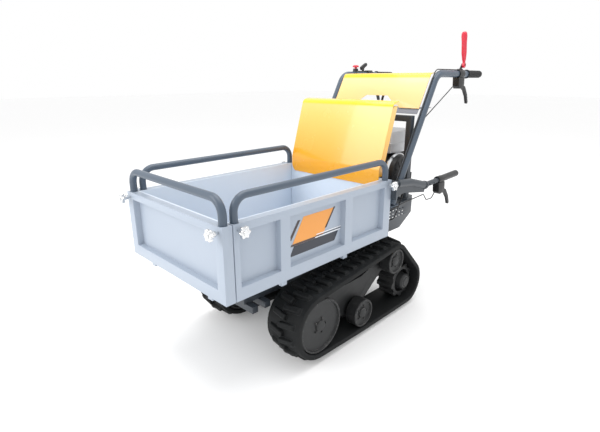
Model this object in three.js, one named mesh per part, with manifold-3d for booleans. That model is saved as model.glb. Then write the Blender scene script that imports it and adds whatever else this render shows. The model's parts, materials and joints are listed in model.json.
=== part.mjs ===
// A tracked power wheelbarrow: a petrol mini dumper with a tipping load bed, on two rubber tracks.
//
// Machine frame, millimetres: +X is the machine's left side, +Y points to the operator behind it,
// +Z is up. y = 0 is the outer face of the closed front panel, and z = 0 is the datum that heights are
// measured from. The ground lies GROUND from it. The last lines move the whole machine, so that the
// origin is the middle of its footprint on the ground.
import * as THREE from "three";
import { mergeVertices } from "three/addons/utils/BufferGeometryUtils.js";
import Module from "manifold-3d";

const wasm = await Module();
wasm.setup();

// ---------------------------------------------------------------- clearances
const SEAM = 0.5; // two pieces that touch or bolt together
const RUNNING_FIT = 0.6; // a shaft in its bore, on the radius
const SLIDING_FIT = 0.8; // a slide rod or a rail leg in its socket, on each side

// ---------------------------------------------------------------- load bed
const BED_LENGTH = 910; // outer face of front panel to outer face of rear wall
const BED_WIDTH = 645; // over the two side panels
const WALL_HEIGHT = 265;
const BED_BASE = 400; // ground to the underside of the walls
const WALL = 38; // thickness of a folded panel
const PANEL_GAP = 4; // front panel to the ends of the side panels
const PRESSING = 25; // depth of the pressed fields in a panel's outer face
const TOP_BAND = 27;
const BOTTOM_BAND = 45;
const FRONT_END_BAND = 42; // outer band at each end of the front panel
const SIDE_FRONT_BAND = 22; // band at the front end of a side panel
const SIDE_REAR_BAND = 50;
const PILLAR = 46; // width of the two pillars of a side panel
const PILLAR_PLACES = [262, 614];
const REAR_WALL = 30;
const FLOOR = 4;

// Bed frame below the floor
const BED_TUBE = 35; // square tube
const BED_TUBE_X = 110;
const BED_FRAME_FRONT = 50;
const BED_FRAME_REAR = 875;
const ROD = 20; // square slide rods of the three panels
const ROD_WALL = 4; // wall of the sleeves that the rods slide in
const BRACKET = 13; // half width of a rod's bracket
const ROD_DROP = 18; // rod's middle below the walls' underside
const SIDE_ROD_PLACES = [270, 620];
const SIDE_ROD_INNER = 25; // inner end of a side panel's rods, from the middle
const FRONT_ROD_X = 200;
const FRONT_ROD_REAR = 248; // rear end of the front panel's rods

// Guard rails and their clamp knobs
const RAIL_R = 14;
const RAIL_RISE = 83; // bar's middle above the panel tops
const RAIL_BEND = 52;
const RAIL_DEPTH = 55; // length of a leg inside its socket
const SOCKET_BOSS_R = 19;
const RAIL_X = BED_WIDTH / 2 - WALL / 2;
const FRONT_LEG_X = 302;
const SIDE_LEG_FRONT = 60;
const SIDE_LEG_REAR = 884;
const KNOB_DROP = 19; // clamp screw below the panel top
const KNOB_R = 21;
const KNOB_LOBE = 5;
const KNOB_THICK = 14;
const KNOB_STANDOFF = 26; // panel face to the back of the knob's head
const SCREW_R = 4;
const SCREW_REACH = 3; // screw's point inside the panel's face

// Headboard
const BOARD_HALF_WIDTH = 275;
const BOARD_SHEET = 3;
const BOARD_BOTTOM = 630;
const BOARD_BEND_Z = 705; // where the board starts to lean back
const BOARD_TOP_Y = 962;
const BOARD_TOP_Z = 990;
const BOARD_LIP = 40; // rearward lip at the top
const BOARD_FOLD = 28; // radius of the top fold
const BOARD_FLANGE = 36; // width of the rearward side flanges
const BOARD_CORNER = 40; // rounding of the two lower corners

// Tipping hinge and latch
const HINGE_Y = 250;
const HINGE_Z = 300;
const HINGE_PIN_R = 9;
const LUG_R = 20;
const BED_LUG = [116, 126]; // |x| of the bed's hinge lugs
const CHASSIS_LUG = [98, 112];
const LATCH_Y = 892;
const LATCH_Z = 345;
const STRIKER_Z = 300;
const STRIKER_R = 5;

// ---------------------------------------------------------------- tracks
const GROUND = -29; // height of the ground
const TRACK_INNER = 165; // |x| of a belt's inner edge
const TRACK_WIDTH = 180;
const BELT = 22; // thickness of the belt without its lugs
const LUG_HEIGHT = 18;
const LUG_COUNT = 36;
const WHEEL_GAP = 2.5; // wheel to belt
const IDLER = { y: 440, z: GROUND + 168, r: 117.5 };
const ROLLER = { y: 727, z: GROUND + LUG_HEIGHT + BELT + WHEEL_GAP + 65, r: 65 };
const SPROCKET = { y: 1095, z: GROUND + LUG_HEIGHT + BELT + WHEEL_GAP + 87.5, r: 87.5 };
const CARRIER = { y: 975, z: GROUND + 285, r: 62.5 }; // upper roller, above the sprocket
const AXLE_R = 10;
const BEAM = 32; // thickness of the track frame's beam
const SPROCKET_TEETH = 9;
const TOOTH_DEPTH = 12;

// ---------------------------------------------------------------- chassis and drive
const CHASSIS_TUBE = 40;
const CHASSIS_X = 95;
const CHASSIS_TOP = 275;
const CHASSIS_FRONT = 225;
const CHASSIS_REAR = 1205;
const CROSS_TUBE = 28;
const CROSS_PLACES = [245, 310]; // the two front cross tubes
const ARM = 34; // square tubes that carry a track frame
const ARM_PLACES = [590, 790];
const ARM_Z = 190;
const POST = 30;
const POST_PLACES = [1002, 1186];
const GEARBOX_HALF = 70;
const SHAFT_R = 13;
const DECK_Z = 512; // underside of the engine deck
const DECK = 8;
const DECK_HALF = 305;
const DECK_FRONT = 948;
const DECK_STEPS = [[1034, 305], [1180, 282], [1236, 250]]; // [rear end, half width] of its three stretches
const COVER_HALF = 250;
const COVER_SHEET = 3;
const COVER_FRONT = 985;
const COVER_REAR = 1225;
const COVER_BOTTOM = 372;
const PORTAL_TUBE = 28;
const PORTAL_X = 251;
const PORTAL_Y = 1150;
const PORTAL_TOP = 925;

// Engine: the crankshaft lies along X and the recoil starter faces the machine's left side.
const CRANK_Y = 1180;
const CRANK_Z = 638;
const CASE_R = 78;
const FAN_R = 98; // recoil and fan cover
const FAN_BACK = 128;
const FAN_FACE = 205;
const TANK = { x0: -140, x1: 185, y0: 1102, y1: 1322, z0: 738, z1: 846, corner: 34 };

// ---------------------------------------------------------------- handlebars
const BAR_R = 17;
const BAR_X = 286;
const BAR_BEND_Y = 1301; // corner of the bar's centre line
const BAR_TOP = 1114;
const BAR_RISE = 61; // degrees of the sloping run
const BAR_BEND = 75;
const BAR_END = 1778;
const GRIP_R = 19;
const GRIP_LENGTH = 165;
const PERCH_Y = 1535; // lever bracket under the bar
const PERCH_WIDTH = 34;
const PERCH_LENGTH = 62;
const PERCH_DROP = 72;
const LEVER_THICK = 12;
const LEVER_LENGTH = 118;
const PIVOT_R = 4;
const CABLE_R = 2.5;
const RED_LEVER = { y: 1571, z: 1158, length: 158, lean: -12 };
const CONSOLE_HALF = 265;
const CONSOLE_SHEET = 3;
const CONSOLE_BOTTOM = 948;
const CONSOLE_LIP = 62;
const CONSOLE_FOLD = 26;

// Tipping handle, beside the left handlebar
const DUMP_X = 336;
const DUMP_R = 18;
const DUMP_THIN_R = 13;
const DUMP_GRIP_R = 17;
const DUMP_START = { y: 934, z: 645 };
const DUMP_KNEE = { y: 1052, z: 632 };
const DUMP_JOIN = { y: 1186, z: 596 };
const DUMP_END = { y: 1512, z: 606 };
const DUMP_GRIP_LENGTH = 162;
const DUMP_PERCH_Y = 1330;

// ---------------------------------------------------------------- materials
const finish = (color, roughness, metalness) =>
  new THREE.MeshStandardMaterial({ color, roughness, metalness });
const PANEL_GREY = finish(0xd4dce4, 0.45, 0.1);
const FRAME_GREY = finish(0x3b4148, 0.5, 0.3);
const RAIL_GREY = finish(0x4a525c, 0.45, 0.3);
const YELLOW = finish(0xfcc21c, 0.35, 0.1);
const RED = finish(0xd02436, 0.35, 0);
const BLACK = finish(0x17181a, 0.6, 0);
const RUBBER = finish(0x2a2b2c, 0.9, 0);
const ZINC = finish(0xdfe3e6, 0.3, 0.8);
const TANK_GREY = finish(0xc6c8cb, 0.4, 0.2);
const ALLOY = finish(0x9da1a5, 0.5, 0.7);
const IRON = finish(0x2e3135, 0.7, 0.4);
const TRAY_GREY = finish(0x8e929b, 0.5, 0.2);

// ---------------------------------------------------------------- solids and outlines
const loose = (geometry) => (geometry.index ? geometry.toNonIndexed() : geometry.clone());

// A closed three.js geometry as a manifold solid.
function solid(geometry) {
  const bare = new THREE.BufferGeometry();
  const flat = loose(geometry);
  bare.setAttribute("position", flat.getAttribute("position"));
  const merged = mergeVertices(bare, 1e-4);
  const corners = Array.from(merged.index.array);
  const kept = [];
  for (let i = 0; i < corners.length; i += 3) {
    const [a, b, c] = corners.slice(i, i + 3);
    if (a !== b && b !== c && c !== a) kept.push(a, b, c);
  }
  return new wasm.Manifold(
    new wasm.Mesh({
      numProp: 3,
      vertProperties: merged.attributes.position.array,
      triVerts: new Uint32Array(kept),
    }),
  );
}

function geometryOf(manifold) {
  const mesh = manifold.getMesh();
  const geometry = new THREE.BufferGeometry();
  geometry.setAttribute("position", new THREE.BufferAttribute(mesh.vertProperties, 3));
  geometry.setIndex(new THREE.BufferAttribute(mesh.triVerts, 1));
  geometry.computeVertexNormals();
  return geometry;
}

const join = (...pieces) => geometryOf(pieces.map(solid).reduce((a, b) => a.add(b)));
const cut = (piece, ...tools) =>
  geometryOf(tools.map(solid).reduce((a, b) => a.subtract(b), solid(piece)));
const common = (a, b) => geometryOf(solid(a).intersect(solid(b)));

function block(x0, x1, y0, y1, z0, z1) {
  const box = new THREE.BoxGeometry(x1 - x0, y1 - y0, z1 - z0);
  return box.translate((x0 + x1) / 2, (y0 + y1) / 2, (z0 + z1) / 2);
}

// A block centred on a line along X, Y or Z: `along` is its extent on that axis.
const barX = (along, y, z, size) =>
  block(along[0], along[1], y - size / 2, y + size / 2, z - size / 2, z + size / 2);
const barY = (x, along, z, size) =>
  block(x - size / 2, x + size / 2, along[0], along[1], z - size / 2, z + size / 2);
const barZ = (x, y, along, size) =>
  block(x - size / 2, x + size / 2, y - size / 2, y + size / 2, along[0], along[1]);

// A solid of revolution about X, Y or Z through `at`; profile points are [radius, distance].
function turned(profile, axis, at, sides = 16) {
  const points = profile.map(([r, d]) => new THREE.Vector2(r, d));
  const lathe = new THREE.LatheGeometry(points, sides);
  if (axis === "x") lathe.rotateZ(-Math.PI / 2);
  if (axis === "z") lathe.rotateX(Math.PI / 2);
  return lathe.translate(at[0], at[1], at[2]);
}

// A plain round rod between two distances along its axis.
function rod(axis, at, from, to, r, sides = 12) {
  return turned([[0, from], [r, from], [r, to], [0, to]], axis, at, sides);
}

// An outline in the YZ plane, extruded along X from x0 to x1.
function plateX(outline, x0, x1) {
  const shape = new THREE.Shape(outline.map(([y, z]) => new THREE.Vector2(y, z)));
  const plate = new THREE.ExtrudeGeometry(shape, { depth: x1 - x0, bevelEnabled: false });
  const turn = new THREE.Matrix4().makeBasis(
    new THREE.Vector3(0, 1, 0), new THREE.Vector3(0, 0, 1), new THREE.Vector3(1, 0, 0));
  return plate.applyMatrix4(turn).translate(x0, 0, 0);
}

// An outline in the XZ plane, extruded along Y from y0 to y1.
function plateY(outline, y0, y1) {
  const shape = new THREE.Shape(outline.map(([x, z]) => new THREE.Vector2(x, z)));
  const plate = new THREE.ExtrudeGeometry(shape, { depth: y1 - y0, bevelEnabled: false });
  return plate.rotateX(Math.PI / 2).translate(0, y1, 0);
}

// An outline in the XY plane, extruded along Z from z0 to z1.
function plateZ(outline, z0, z1) {
  const shape = new THREE.Shape(outline.map(([x, y]) => new THREE.Vector2(x, y)));
  return new THREE.ExtrudeGeometry(shape, { depth: z1 - z0, bevelEnabled: false }).translate(0, 0, z0);
}

// Arc points about [u, v], in degrees.
function arc(u, v, r, from, to, steps) {
  return Array.from({ length: steps + 1 }, (_, i) => {
    const a = THREE.MathUtils.degToRad(from + ((to - from) * i) / steps);
    return [u + r * Math.cos(a), v + r * Math.sin(a)];
  });
}

function roundedRectangle(u0, u1, v0, v1, r, steps = 4) {
  return [
    ...arc(u1 - r, v0 + r, r, -90, 0, steps),
    ...arc(u1 - r, v1 - r, r, 0, 90, steps),
    ...arc(u0 + r, v1 - r, r, 90, 180, steps),
    ...arc(u0 + r, v0 + r, r, 180, 270, steps),
  ];
}

// Replaces each inner corner of a 3D polyline with an arc of the given radius.
function filleted(points, radius, stepDegrees = 22.5) {
  const path = points.map((p) => new THREE.Vector3(...p));
  const out = [path[0]];
  for (let i = 1; i < path.length - 1; i++) {
    const back = path[i - 1].clone().sub(path[i]).normalize();
    const ahead = path[i + 1].clone().sub(path[i]).normalize();
    const angle = back.angleTo(ahead);
    const turn = Math.PI - angle;
    const steps = Math.max(1, Math.ceil(THREE.MathUtils.radToDeg(turn) / stepDegrees));
    const reach = radius / Math.tan(angle / 2);
    const middle = back.clone().add(ahead).normalize();
    const centre = path[i].clone().addScaledVector(middle, radius / Math.sin(angle / 2));
    const start = path[i].clone().addScaledVector(back, reach).sub(centre);
    const end = path[i].clone().addScaledVector(ahead, reach).sub(centre);
    for (let k = 0; k <= steps; k++) {
      const t = k / steps;
      const a = Math.sin((1 - t) * turn) / Math.sin(turn);
      const b = Math.sin(t * turn) / Math.sin(turn);
      out.push(centre.clone().addScaledVector(start, a).addScaledVector(end, b));
    }
  }
  out.push(path[path.length - 1]);
  return out;
}

// A path whose own points are the stations of an extrusion.
class Route extends THREE.Curve {
  constructor(vertices) {
    super();
    this.vertices = vertices;
  }
  getPoint(t, target = new THREE.Vector3()) {
    const last = this.vertices.length - 1;
    const i = Math.min(Math.floor(t * last), last - 1);
    return target.lerpVectors(this.vertices[i], this.vertices[i + 1], t * last - i);
  }
  getPointAt(t, target) {
    return this.getPoint(t, target);
  }
  getTangent(t, target = new THREE.Vector3()) {
    const last = this.vertices.length - 1;
    const i = Math.round(t * last);
    const before = this.vertices[Math.max(i - 1, 0)];
    const here = this.vertices[i];
    const after = this.vertices[Math.min(i + 1, last)];
    target.set(0, 0, 0);
    if (i > 0) target.add(here.clone().sub(before).normalize());
    if (i < last) target.add(after.clone().sub(here).normalize());
    return target.normalize();
  }
  getTangentAt(t, target) {
    return this.getTangent(t, target);
  }
  getSpacedPoints() {
    return this.vertices;
  }
}

// A round bar bent along points, with every corner rounded to the bend radius.
function bentBar(points, r, bend, sides = 10) {
  const route = filleted(points, bend);
  const round = new THREE.Shape(arc(0, 0, r, 0, 360 - 360 / sides, sides - 1)
    .map(([u, v]) => new THREE.Vector2(u, v)));
  return new THREE.ExtrudeGeometry(round, {
    steps: route.length - 1,
    extrudePath: new Route(route),
  });
}

// A sheet of even thickness folded along points in the YZ plane.
function foldedSheet(points, thickness, bend, x0, x1) {
  const line = filleted(points.map(([y, z]) => [0, y, z]), bend, 18);
  const left = [];
  const right = [];
  line.forEach((p, i) => {
    const tangent = new Route(line).getTangent(i / (line.length - 1));
    const before = line[Math.max(i - 1, 0)];
    const after = line[Math.min(i + 1, line.length - 1)];
    const straight = after.clone().sub(before).normalize();
    const half = thickness / 2 / Math.max(straight.dot(tangent), 0.5);
    left.push([p.y - tangent.z * half, p.z + tangent.y * half]);
    right.unshift([p.y + tangent.z * half, p.z - tangent.y * half]);
  });
  return plateX([...right, ...left], x0, x1);
}

const mirrored = (geometry) => {
  const flipped = loose(geometry).scale(-1, 1, 1);
  const p = flipped.getAttribute("position");
  for (let i = 0; i < p.count; i += 3) {
    const b = new THREE.Vector3().fromBufferAttribute(p, i + 1);
    const c = new THREE.Vector3().fromBufferAttribute(p, i + 2);
    p.setXYZ(i + 1, c.x, c.y, c.z);
    p.setXYZ(i + 2, b.x, b.y, b.z);
  }
  flipped.computeVertexNormals();
  return flipped;
};

const machine = new THREE.Group();

function part(name, geometry, material) {
  const mesh = new THREE.Mesh(geometry, material);
  mesh.name = name;
  machine.add(mesh);
}

// The same piece on both sides of the machine; it is drawn for the left side.
function bothSides(name, geometry, material) {
  part("left_" + name, geometry, material);
  part("right_" + name, mirrored(geometry), material);
}

// ---------------------------------------------------------------- panels
const WALL_TOP = BED_BASE + WALL_HEIGHT;
const FIELD_Z = [BED_BASE + BOTTOM_BAND, WALL_TOP - TOP_BAND];
const HALF_WIDTH = BED_WIDTH / 2;
const ROD_Z = BED_BASE - ROD_DROP;
const KNOB_Z = WALL_TOP - KNOB_DROP;
const BRACKET_Z = [ROD_Z - ROD / 2, BED_BASE + 1]; // rod brackets run up into the panel
const socket = (x, y) =>
  rod("z", [x, y, 0], WALL_TOP - RAIL_DEPTH - 12, WALL_TOP + 1, RAIL_R + SLIDING_FIT, 16);
const screwHole = (axis, at, from, to) => rod(axis, at, from, to, SCREW_R + RUNNING_FIT, 10);

function frontPanel() {
  const panel = join(
    block(-HALF_WIDTH, HALF_WIDTH, 0, WALL, BED_BASE, WALL_TOP),
    ...[-1, 1].flatMap((side) => {
      const x = side * FRONT_ROD_X;
      return [
        block(x - BRACKET, x + BRACKET, WALL / 2, WALL - 4, ...BRACKET_Z),
        barY(x, [WALL / 2, FRONT_ROD_REAR], ROD_Z, ROD),
      ];
    }),
  );
  const field = HALF_WIDTH - FRONT_END_BAND;
  const legs = [-FRONT_LEG_X, FRONT_LEG_X];
  return cut(
    panel,
    block(-field, field, -1, PRESSING, ...FIELD_Z),
    ...legs.map((x) => socket(x, WALL / 2)),
    ...legs.map((x) => screwHole("y", [x, 0, KNOB_Z], -1, WALL / 2)),
  );
}

// The left panel; its fields are pressed in from the outside between its bands and pillars.
function sidePanel() {
  const front = WALL + PANEL_GAP;
  const inner = HALF_WIDTH - WALL;
  const edges = [
    front + SIDE_FRONT_BAND,
    ...PILLAR_PLACES.flatMap((y) => [y - PILLAR / 2, y + PILLAR / 2]),
    BED_LENGTH - SIDE_REAR_BAND,
  ];
  const fields = [0, 2, 4].map((i) =>
    block(HALF_WIDTH - PRESSING, HALF_WIDTH + 1, edges[i], edges[i + 1], ...FIELD_Z));
  const sheet = cut(block(inner, HALF_WIDTH, front, BED_LENGTH, BED_BASE, WALL_TOP), ...fields);
  const panel = join(
    sheet,
    rod("z", [RAIL_X, SIDE_LEG_FRONT, 0], KNOB_Z - 40, FIELD_Z[1] + 1, SOCKET_BOSS_R - 1, 16),
    ...SIDE_ROD_PLACES.flatMap((y) => [
      block(inner + 4, RAIL_X, y - BRACKET, y + BRACKET, ...BRACKET_Z),
      barX([SIDE_ROD_INNER, RAIL_X], y, ROD_Z, ROD),
    ]),
  );
  const legs = [SIDE_LEG_FRONT, SIDE_LEG_REAR];
  return cut(
    panel,
    ...legs.map((y) => socket(RAIL_X, y)),
    ...legs.map((y) => screwHole("x", [0, y, KNOB_Z], RAIL_X, HALF_WIDTH + 1)),
  );
}

function frontRail() {
  const top = WALL_TOP + RAIL_RISE;
  const foot = WALL_TOP - RAIL_DEPTH;
  const y = WALL / 2;
  return bentBar(
    [[-FRONT_LEG_X, y, foot], [-FRONT_LEG_X, y, top], [FRONT_LEG_X, y, top], [FRONT_LEG_X, y, foot]],
    RAIL_R, RAIL_BEND);
}

function sideRail() {
  const top = WALL_TOP + RAIL_RISE;
  const foot = WALL_TOP - RAIL_DEPTH;
  return bentBar(
    [[RAIL_X, SIDE_LEG_FRONT, foot], [RAIL_X, SIDE_LEG_FRONT, top],
      [RAIL_X, SIDE_LEG_REAR, top], [RAIL_X, SIDE_LEG_REAR, foot]],
    RAIL_R, RAIL_BEND);
}

// A six-lobed clamp knob on a screw along Z: z = 0 is the panel's face and +Z points out of it.
function starKnob() {
  const outline = Array.from({ length: 12 }, (_, i) => {
    const a = (i * Math.PI) / 6;
    const r = KNOB_R - KNOB_LOBE / 2 + (KNOB_LOBE / 2) * Math.cos(6 * a);
    return [r * Math.cos(a), r * Math.sin(a)];
  });
  const head = plateZ(outline, KNOB_STANDOFF, KNOB_STANDOFF + KNOB_THICK);
  const stem = turned(
    [[0, -SCREW_REACH], [SCREW_R, -SCREW_REACH], [SCREW_R, 6], [8, 8], [10, KNOB_STANDOFF + 1],
      [10, KNOB_STANDOFF + KNOB_THICK + 4], [0, KNOB_STANDOFF + KNOB_THICK + 4]],
    "z", [0, 0, 0], 10);
  return join(head, stem);
}

part("front_panel", frontPanel(), PANEL_GREY);
bothSides("side_panel", sidePanel(), PANEL_GREY);
part("front_rail", frontRail(), RAIL_GREY);
bothSides("side_rail", sideRail(), RAIL_GREY);
bothSides("front_knob",
  starKnob().rotateX(Math.PI / 2).translate(FRONT_LEG_X, 0, KNOB_Z), ZINC);
for (const [end, y] of [["front", SIDE_LEG_FRONT], ["rear", SIDE_LEG_REAR]])
  bothSides("side_knob_" + end,
    starKnob().rotateY(Math.PI / 2).translate(HALF_WIDTH, y, KNOB_Z), ZINC);

// ---------------------------------------------------------------- bed frame, tray and headboard
function bedFrame() {
  const top = BED_BASE - SEAM;
  const z = top - BED_TUBE / 2;
  const sleeve = ROD + 2 * ROD_WALL;
  const reach = BED_WIDTH / 2 - WALL - 30;
  const lug = (x0, x1) => plateX(
    [...arc(HINGE_Y, HINGE_Z, LUG_R, 180, 360, 8), [HINGE_Y + 34, z], [HINGE_Y - 34, z]], x0, x1);
  const ears = (x0, x1) => plateX(
    [[BED_FRAME_REAR - 4, z - 10], [LATCH_Y + 2, LATCH_Z - 10], [LATCH_Y + 10, LATCH_Z],
      [LATCH_Y + 10, LATCH_Z + 10], [BED_FRAME_REAR - 4, z + 12]], x0, x1);
  const frame = join(
    ...[-BED_TUBE_X, BED_TUBE_X].map((x) => barY(x, [BED_FRAME_FRONT, BED_FRAME_REAR], z, BED_TUBE)),
    barX([-reach, reach], BED_FRAME_FRONT + BED_TUBE / 2, z, BED_TUBE),
    barX([-reach, reach], BED_FRAME_REAR - BED_TUBE / 2, z, BED_TUBE),
    ...SIDE_ROD_PLACES.map((y) => barX([-reach, reach], y, ROD_Z, sleeve)),
    ...[-FRONT_ROD_X, FRONT_ROD_X].map((x) =>
      barY(x, [BED_FRAME_FRONT, SIDE_ROD_PLACES[0]], ROD_Z, sleeve)),
    lug(BED_LUG[0], BED_LUG[1]),
    lug(-BED_LUG[1], -BED_LUG[0]),
    ears(8, 13),
    ears(-13, -8),
  );
  const bore = ROD + 2 * SLIDING_FIT;
  return cut(
    frame,
    ...SIDE_ROD_PLACES.map((y) => barX([-reach - 1, reach + 1], y, ROD_Z, bore)),
    ...[-FRONT_ROD_X, FRONT_ROD_X].map((x) =>
      barY(x, [BED_FRAME_FRONT - 1, FRONT_ROD_REAR + 3], ROD_Z, bore)),
    rod("x", [0, HINGE_Y, HINGE_Z], -200, 200, HINGE_PIN_R + RUNNING_FIT),
    rod("x", [0, LATCH_Y, LATCH_Z], -20, 20, PIVOT_R + RUNNING_FIT, 10),
  );
}

function bedTray() {
  const half = HALF_WIDTH - WALL - SEAM;
  return join(
    block(-half, half, WALL + SEAM, BED_LENGTH, BED_BASE, BED_BASE + FLOOR),
    block(-half, half, BED_LENGTH - REAR_WALL, BED_LENGTH, BED_BASE, WALL_TOP),
  );
}

// The board's face runs up the inside of the rear wall, leans back and folds over at the top.
function headboard() {
  const face = BED_LENGTH - REAR_WALL - SEAM - BOARD_SHEET / 2;
  const line = [[face, BOARD_BOTTOM], [face, BOARD_BEND_Z], [BOARD_TOP_Y, BOARD_TOP_Z],
    [BOARD_TOP_Y + BOARD_LIP, BOARD_TOP_Z + 6]];
  const w = BOARD_HALF_WIDTH;
  const sheet = foldedSheet(line, BOARD_SHEET, BOARD_FOLD, -w, w);
  const outline = roundedRectangle(-w, w, BOARD_BOTTOM - 5, BOARD_TOP_Z + 60, BOARD_CORNER);
  const flangeSide = [
    [face, WALL_TOP + 10], [face + BOARD_FLANGE, WALL_TOP + 10],
    [face + BOARD_FLANGE, BOARD_BEND_Z + 10], [BOARD_TOP_Y + BOARD_LIP - 8, BOARD_TOP_Z - 14],
    [BOARD_TOP_Y + 8, BOARD_TOP_Z - 14], [BOARD_TOP_Y - 6, BOARD_TOP_Z - 26], [face, BOARD_BEND_Z]];
  return join(
    common(sheet, plateY(outline, face - 20, BOARD_TOP_Y + 80)),
    plateX(flangeSide, w - BOARD_SHEET, w),
    plateX(flangeSide, -w, -w + BOARD_SHEET),
  );
}

part("bed_frame", bedFrame(), FRAME_GREY);
part("bed_tray", bedTray(), PANEL_GREY);
part("headboard", headboard(), YELLOW);

// The latch hook hangs on the bed and holds its finger under the striker of the chassis.
function bedLatch() {
  const y = LATCH_Y;
  const low = STRIKER_Z - STRIKER_R - 1;
  const hook = plateX(
    [...arc(y, LATCH_Z, 11, 0, 180, 6), [y + 1, LATCH_Z - 16], [y + 1, low], [y - 20, low],
      [y - 18, low - 11], [y + 4, low - 13], [y + 12, low - 4]], -5, 5);
  return join(
    hook,
    rod("x", [0, y, LATCH_Z], -15, 15, PIVOT_R, 10),
  );
}
part("bed_latch", bedLatch(), ZINC);

// ---------------------------------------------------------------- tipping handle
const DUMP_SLOPE = (DUMP_END.z - DUMP_JOIN.z) / (DUMP_END.y - DUMP_JOIN.y);
const dumpZ = (y) => DUMP_JOIN.z + DUMP_SLOPE * (y - DUMP_JOIN.y);
const dumpPoint = (y) => [DUMP_X, y, dumpZ(y)];
const PLATE_Y = BED_LENGTH + SEAM;

function dumpHandle() {
  const thick = bentBar(
    [[DUMP_X, DUMP_START.y, DUMP_START.z], [DUMP_X, DUMP_KNEE.y, DUMP_KNEE.z],
      [DUMP_X, DUMP_JOIN.y, DUMP_JOIN.z]], DUMP_R, 90);
  const thin = bentBar(
    [[DUMP_X, DUMP_JOIN.y - 8, DUMP_JOIN.z], dumpPoint(DUMP_END.y - 4)], DUMP_THIN_R, 50, 12);
  const mount = block(HALF_WIDTH - 110, DUMP_X + 14, PLATE_Y, PLATE_Y + 7, 575, WALL_TOP - 4);
  const neck = barY(DUMP_X, [PLATE_Y + 1, DUMP_START.y + 20], DUMP_START.z, 26);
  const gusset = plateX(
    [[PLATE_Y + 2, 585], [DUMP_START.y + 60, DUMP_KNEE.z - 40], [DUMP_JOIN.y - 6, DUMP_JOIN.z - 34],
      [DUMP_JOIN.y, DUMP_JOIN.z], [DUMP_KNEE.y, DUMP_KNEE.z], [PLATE_Y + 2, DUMP_START.z]],
    DUMP_X - 3, DUMP_X + 3);
  const pins = [30, 70].map((past) =>
    rod("x", dumpPoint(DUMP_JOIN.y + past), -DUMP_THIN_R - 4, DUMP_THIN_R + 4, 4, 8));
  return join(thick, thin, mount, neck, gusset, ...pins);
}

function dumpGrip() {
  const y0 = DUMP_END.y - DUMP_GRIP_LENGTH;
  const outer = bentBar([dumpPoint(y0), dumpPoint(DUMP_END.y)], DUMP_GRIP_R, 50, 12);
  const inner = bentBar(
    [dumpPoint(y0 - 2), dumpPoint(DUMP_END.y - 4 + SEAM)], DUMP_THIN_R + SEAM, 50, 12);
  return cut(outer, inner);
}

// A lever bracket under a handle: a clamp ring round the bar, and two cheeks that hold the lever.
// `at` is a point on the bar and `barR` the bar's radius.
const PIVOT_BACK = 24; // pivot behind the bracket's middle
const PIVOT_DROP = 56; // pivot below the bar's centre line
function leverPerch(at, barR) {
  const [x, y, z] = at;
  const w = PERCH_WIDTH / 2;
  const body = plateX(
    [[y - PERCH_LENGTH / 2, z - barR], [y - PERCH_LENGTH / 2 + 6, z - PERCH_DROP + 12],
      [y - PERCH_LENGTH / 2 + 20, z - PERCH_DROP], [y + PERCH_LENGTH / 2 - 2, z - PERCH_DROP + 4],
      [y + PERCH_LENGTH / 2 + 4, z - PIVOT_DROP + 8], [y + PERCH_LENGTH / 2, z - barR]],
    x - w, x + w);
  const ring = rod("y", [x, y, z], -PERCH_LENGTH / 2 + 6, PERCH_LENGTH / 2 - 6, barR + 6, 12);
  const slot = block(
    x - LEVER_THICK / 2 - 1, x + LEVER_THICK / 2 + 1,
    y + PIVOT_BACK - 14, y + PERCH_LENGTH, z - PERCH_DROP - 5, z - PIVOT_DROP + 22);
  const bore = rod("y", [x, y, z], -PERCH_LENGTH, PERCH_LENGTH, barR + 1, 12);
  const pin = rod("x", [x, y + PIVOT_BACK, z - PIVOT_DROP], -w + 1, w - 1, PIVOT_R, 8);
  return join(cut(join(body, ring), slot, bore), pin);
}

// The lever itself: a curved blade that hangs down and back from the pivot.
function bladeLever(at) {
  const [x, y0, z0] = at;
  const y = y0 + PIVOT_BACK;
  const z = z0 - PIVOT_DROP;
  const L = LEVER_LENGTH;
  const blade = plateX(
    [[y - 9, z - 4], [y - 4, z - 10], [y + 8, z - 12], [y + 0.34 * L, z - 0.22 * L],
      [y + 0.6 * L, z - 0.5 * L], [y + 0.74 * L, z - 0.8 * L], [y + 0.84 * L, z - 0.82 * L],
      [y + 0.86 * L, z - 0.72 * L], [y + 0.72 * L, z - 0.4 * L], [y + 0.44 * L, z - 0.06 * L],
      [y + 10, z + 8], [y, z + 10], [y - 8, z + 5]],
    x - LEVER_THICK / 2, x + LEVER_THICK / 2);
  return cut(blade, rod("x", [x, y, z], -20, 20, PIVOT_R + RUNNING_FIT, 10));
}

part("dump_handle_tube", dumpHandle(), FRAME_GREY);
const dumpPerchAt = dumpPoint(DUMP_PERCH_Y);
part("dump_grip", join(dumpGrip(), leverPerch(dumpPerchAt, DUMP_THIN_R)), BLACK);
part("dump_lever", bladeLever(dumpPerchAt), BLACK);

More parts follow.
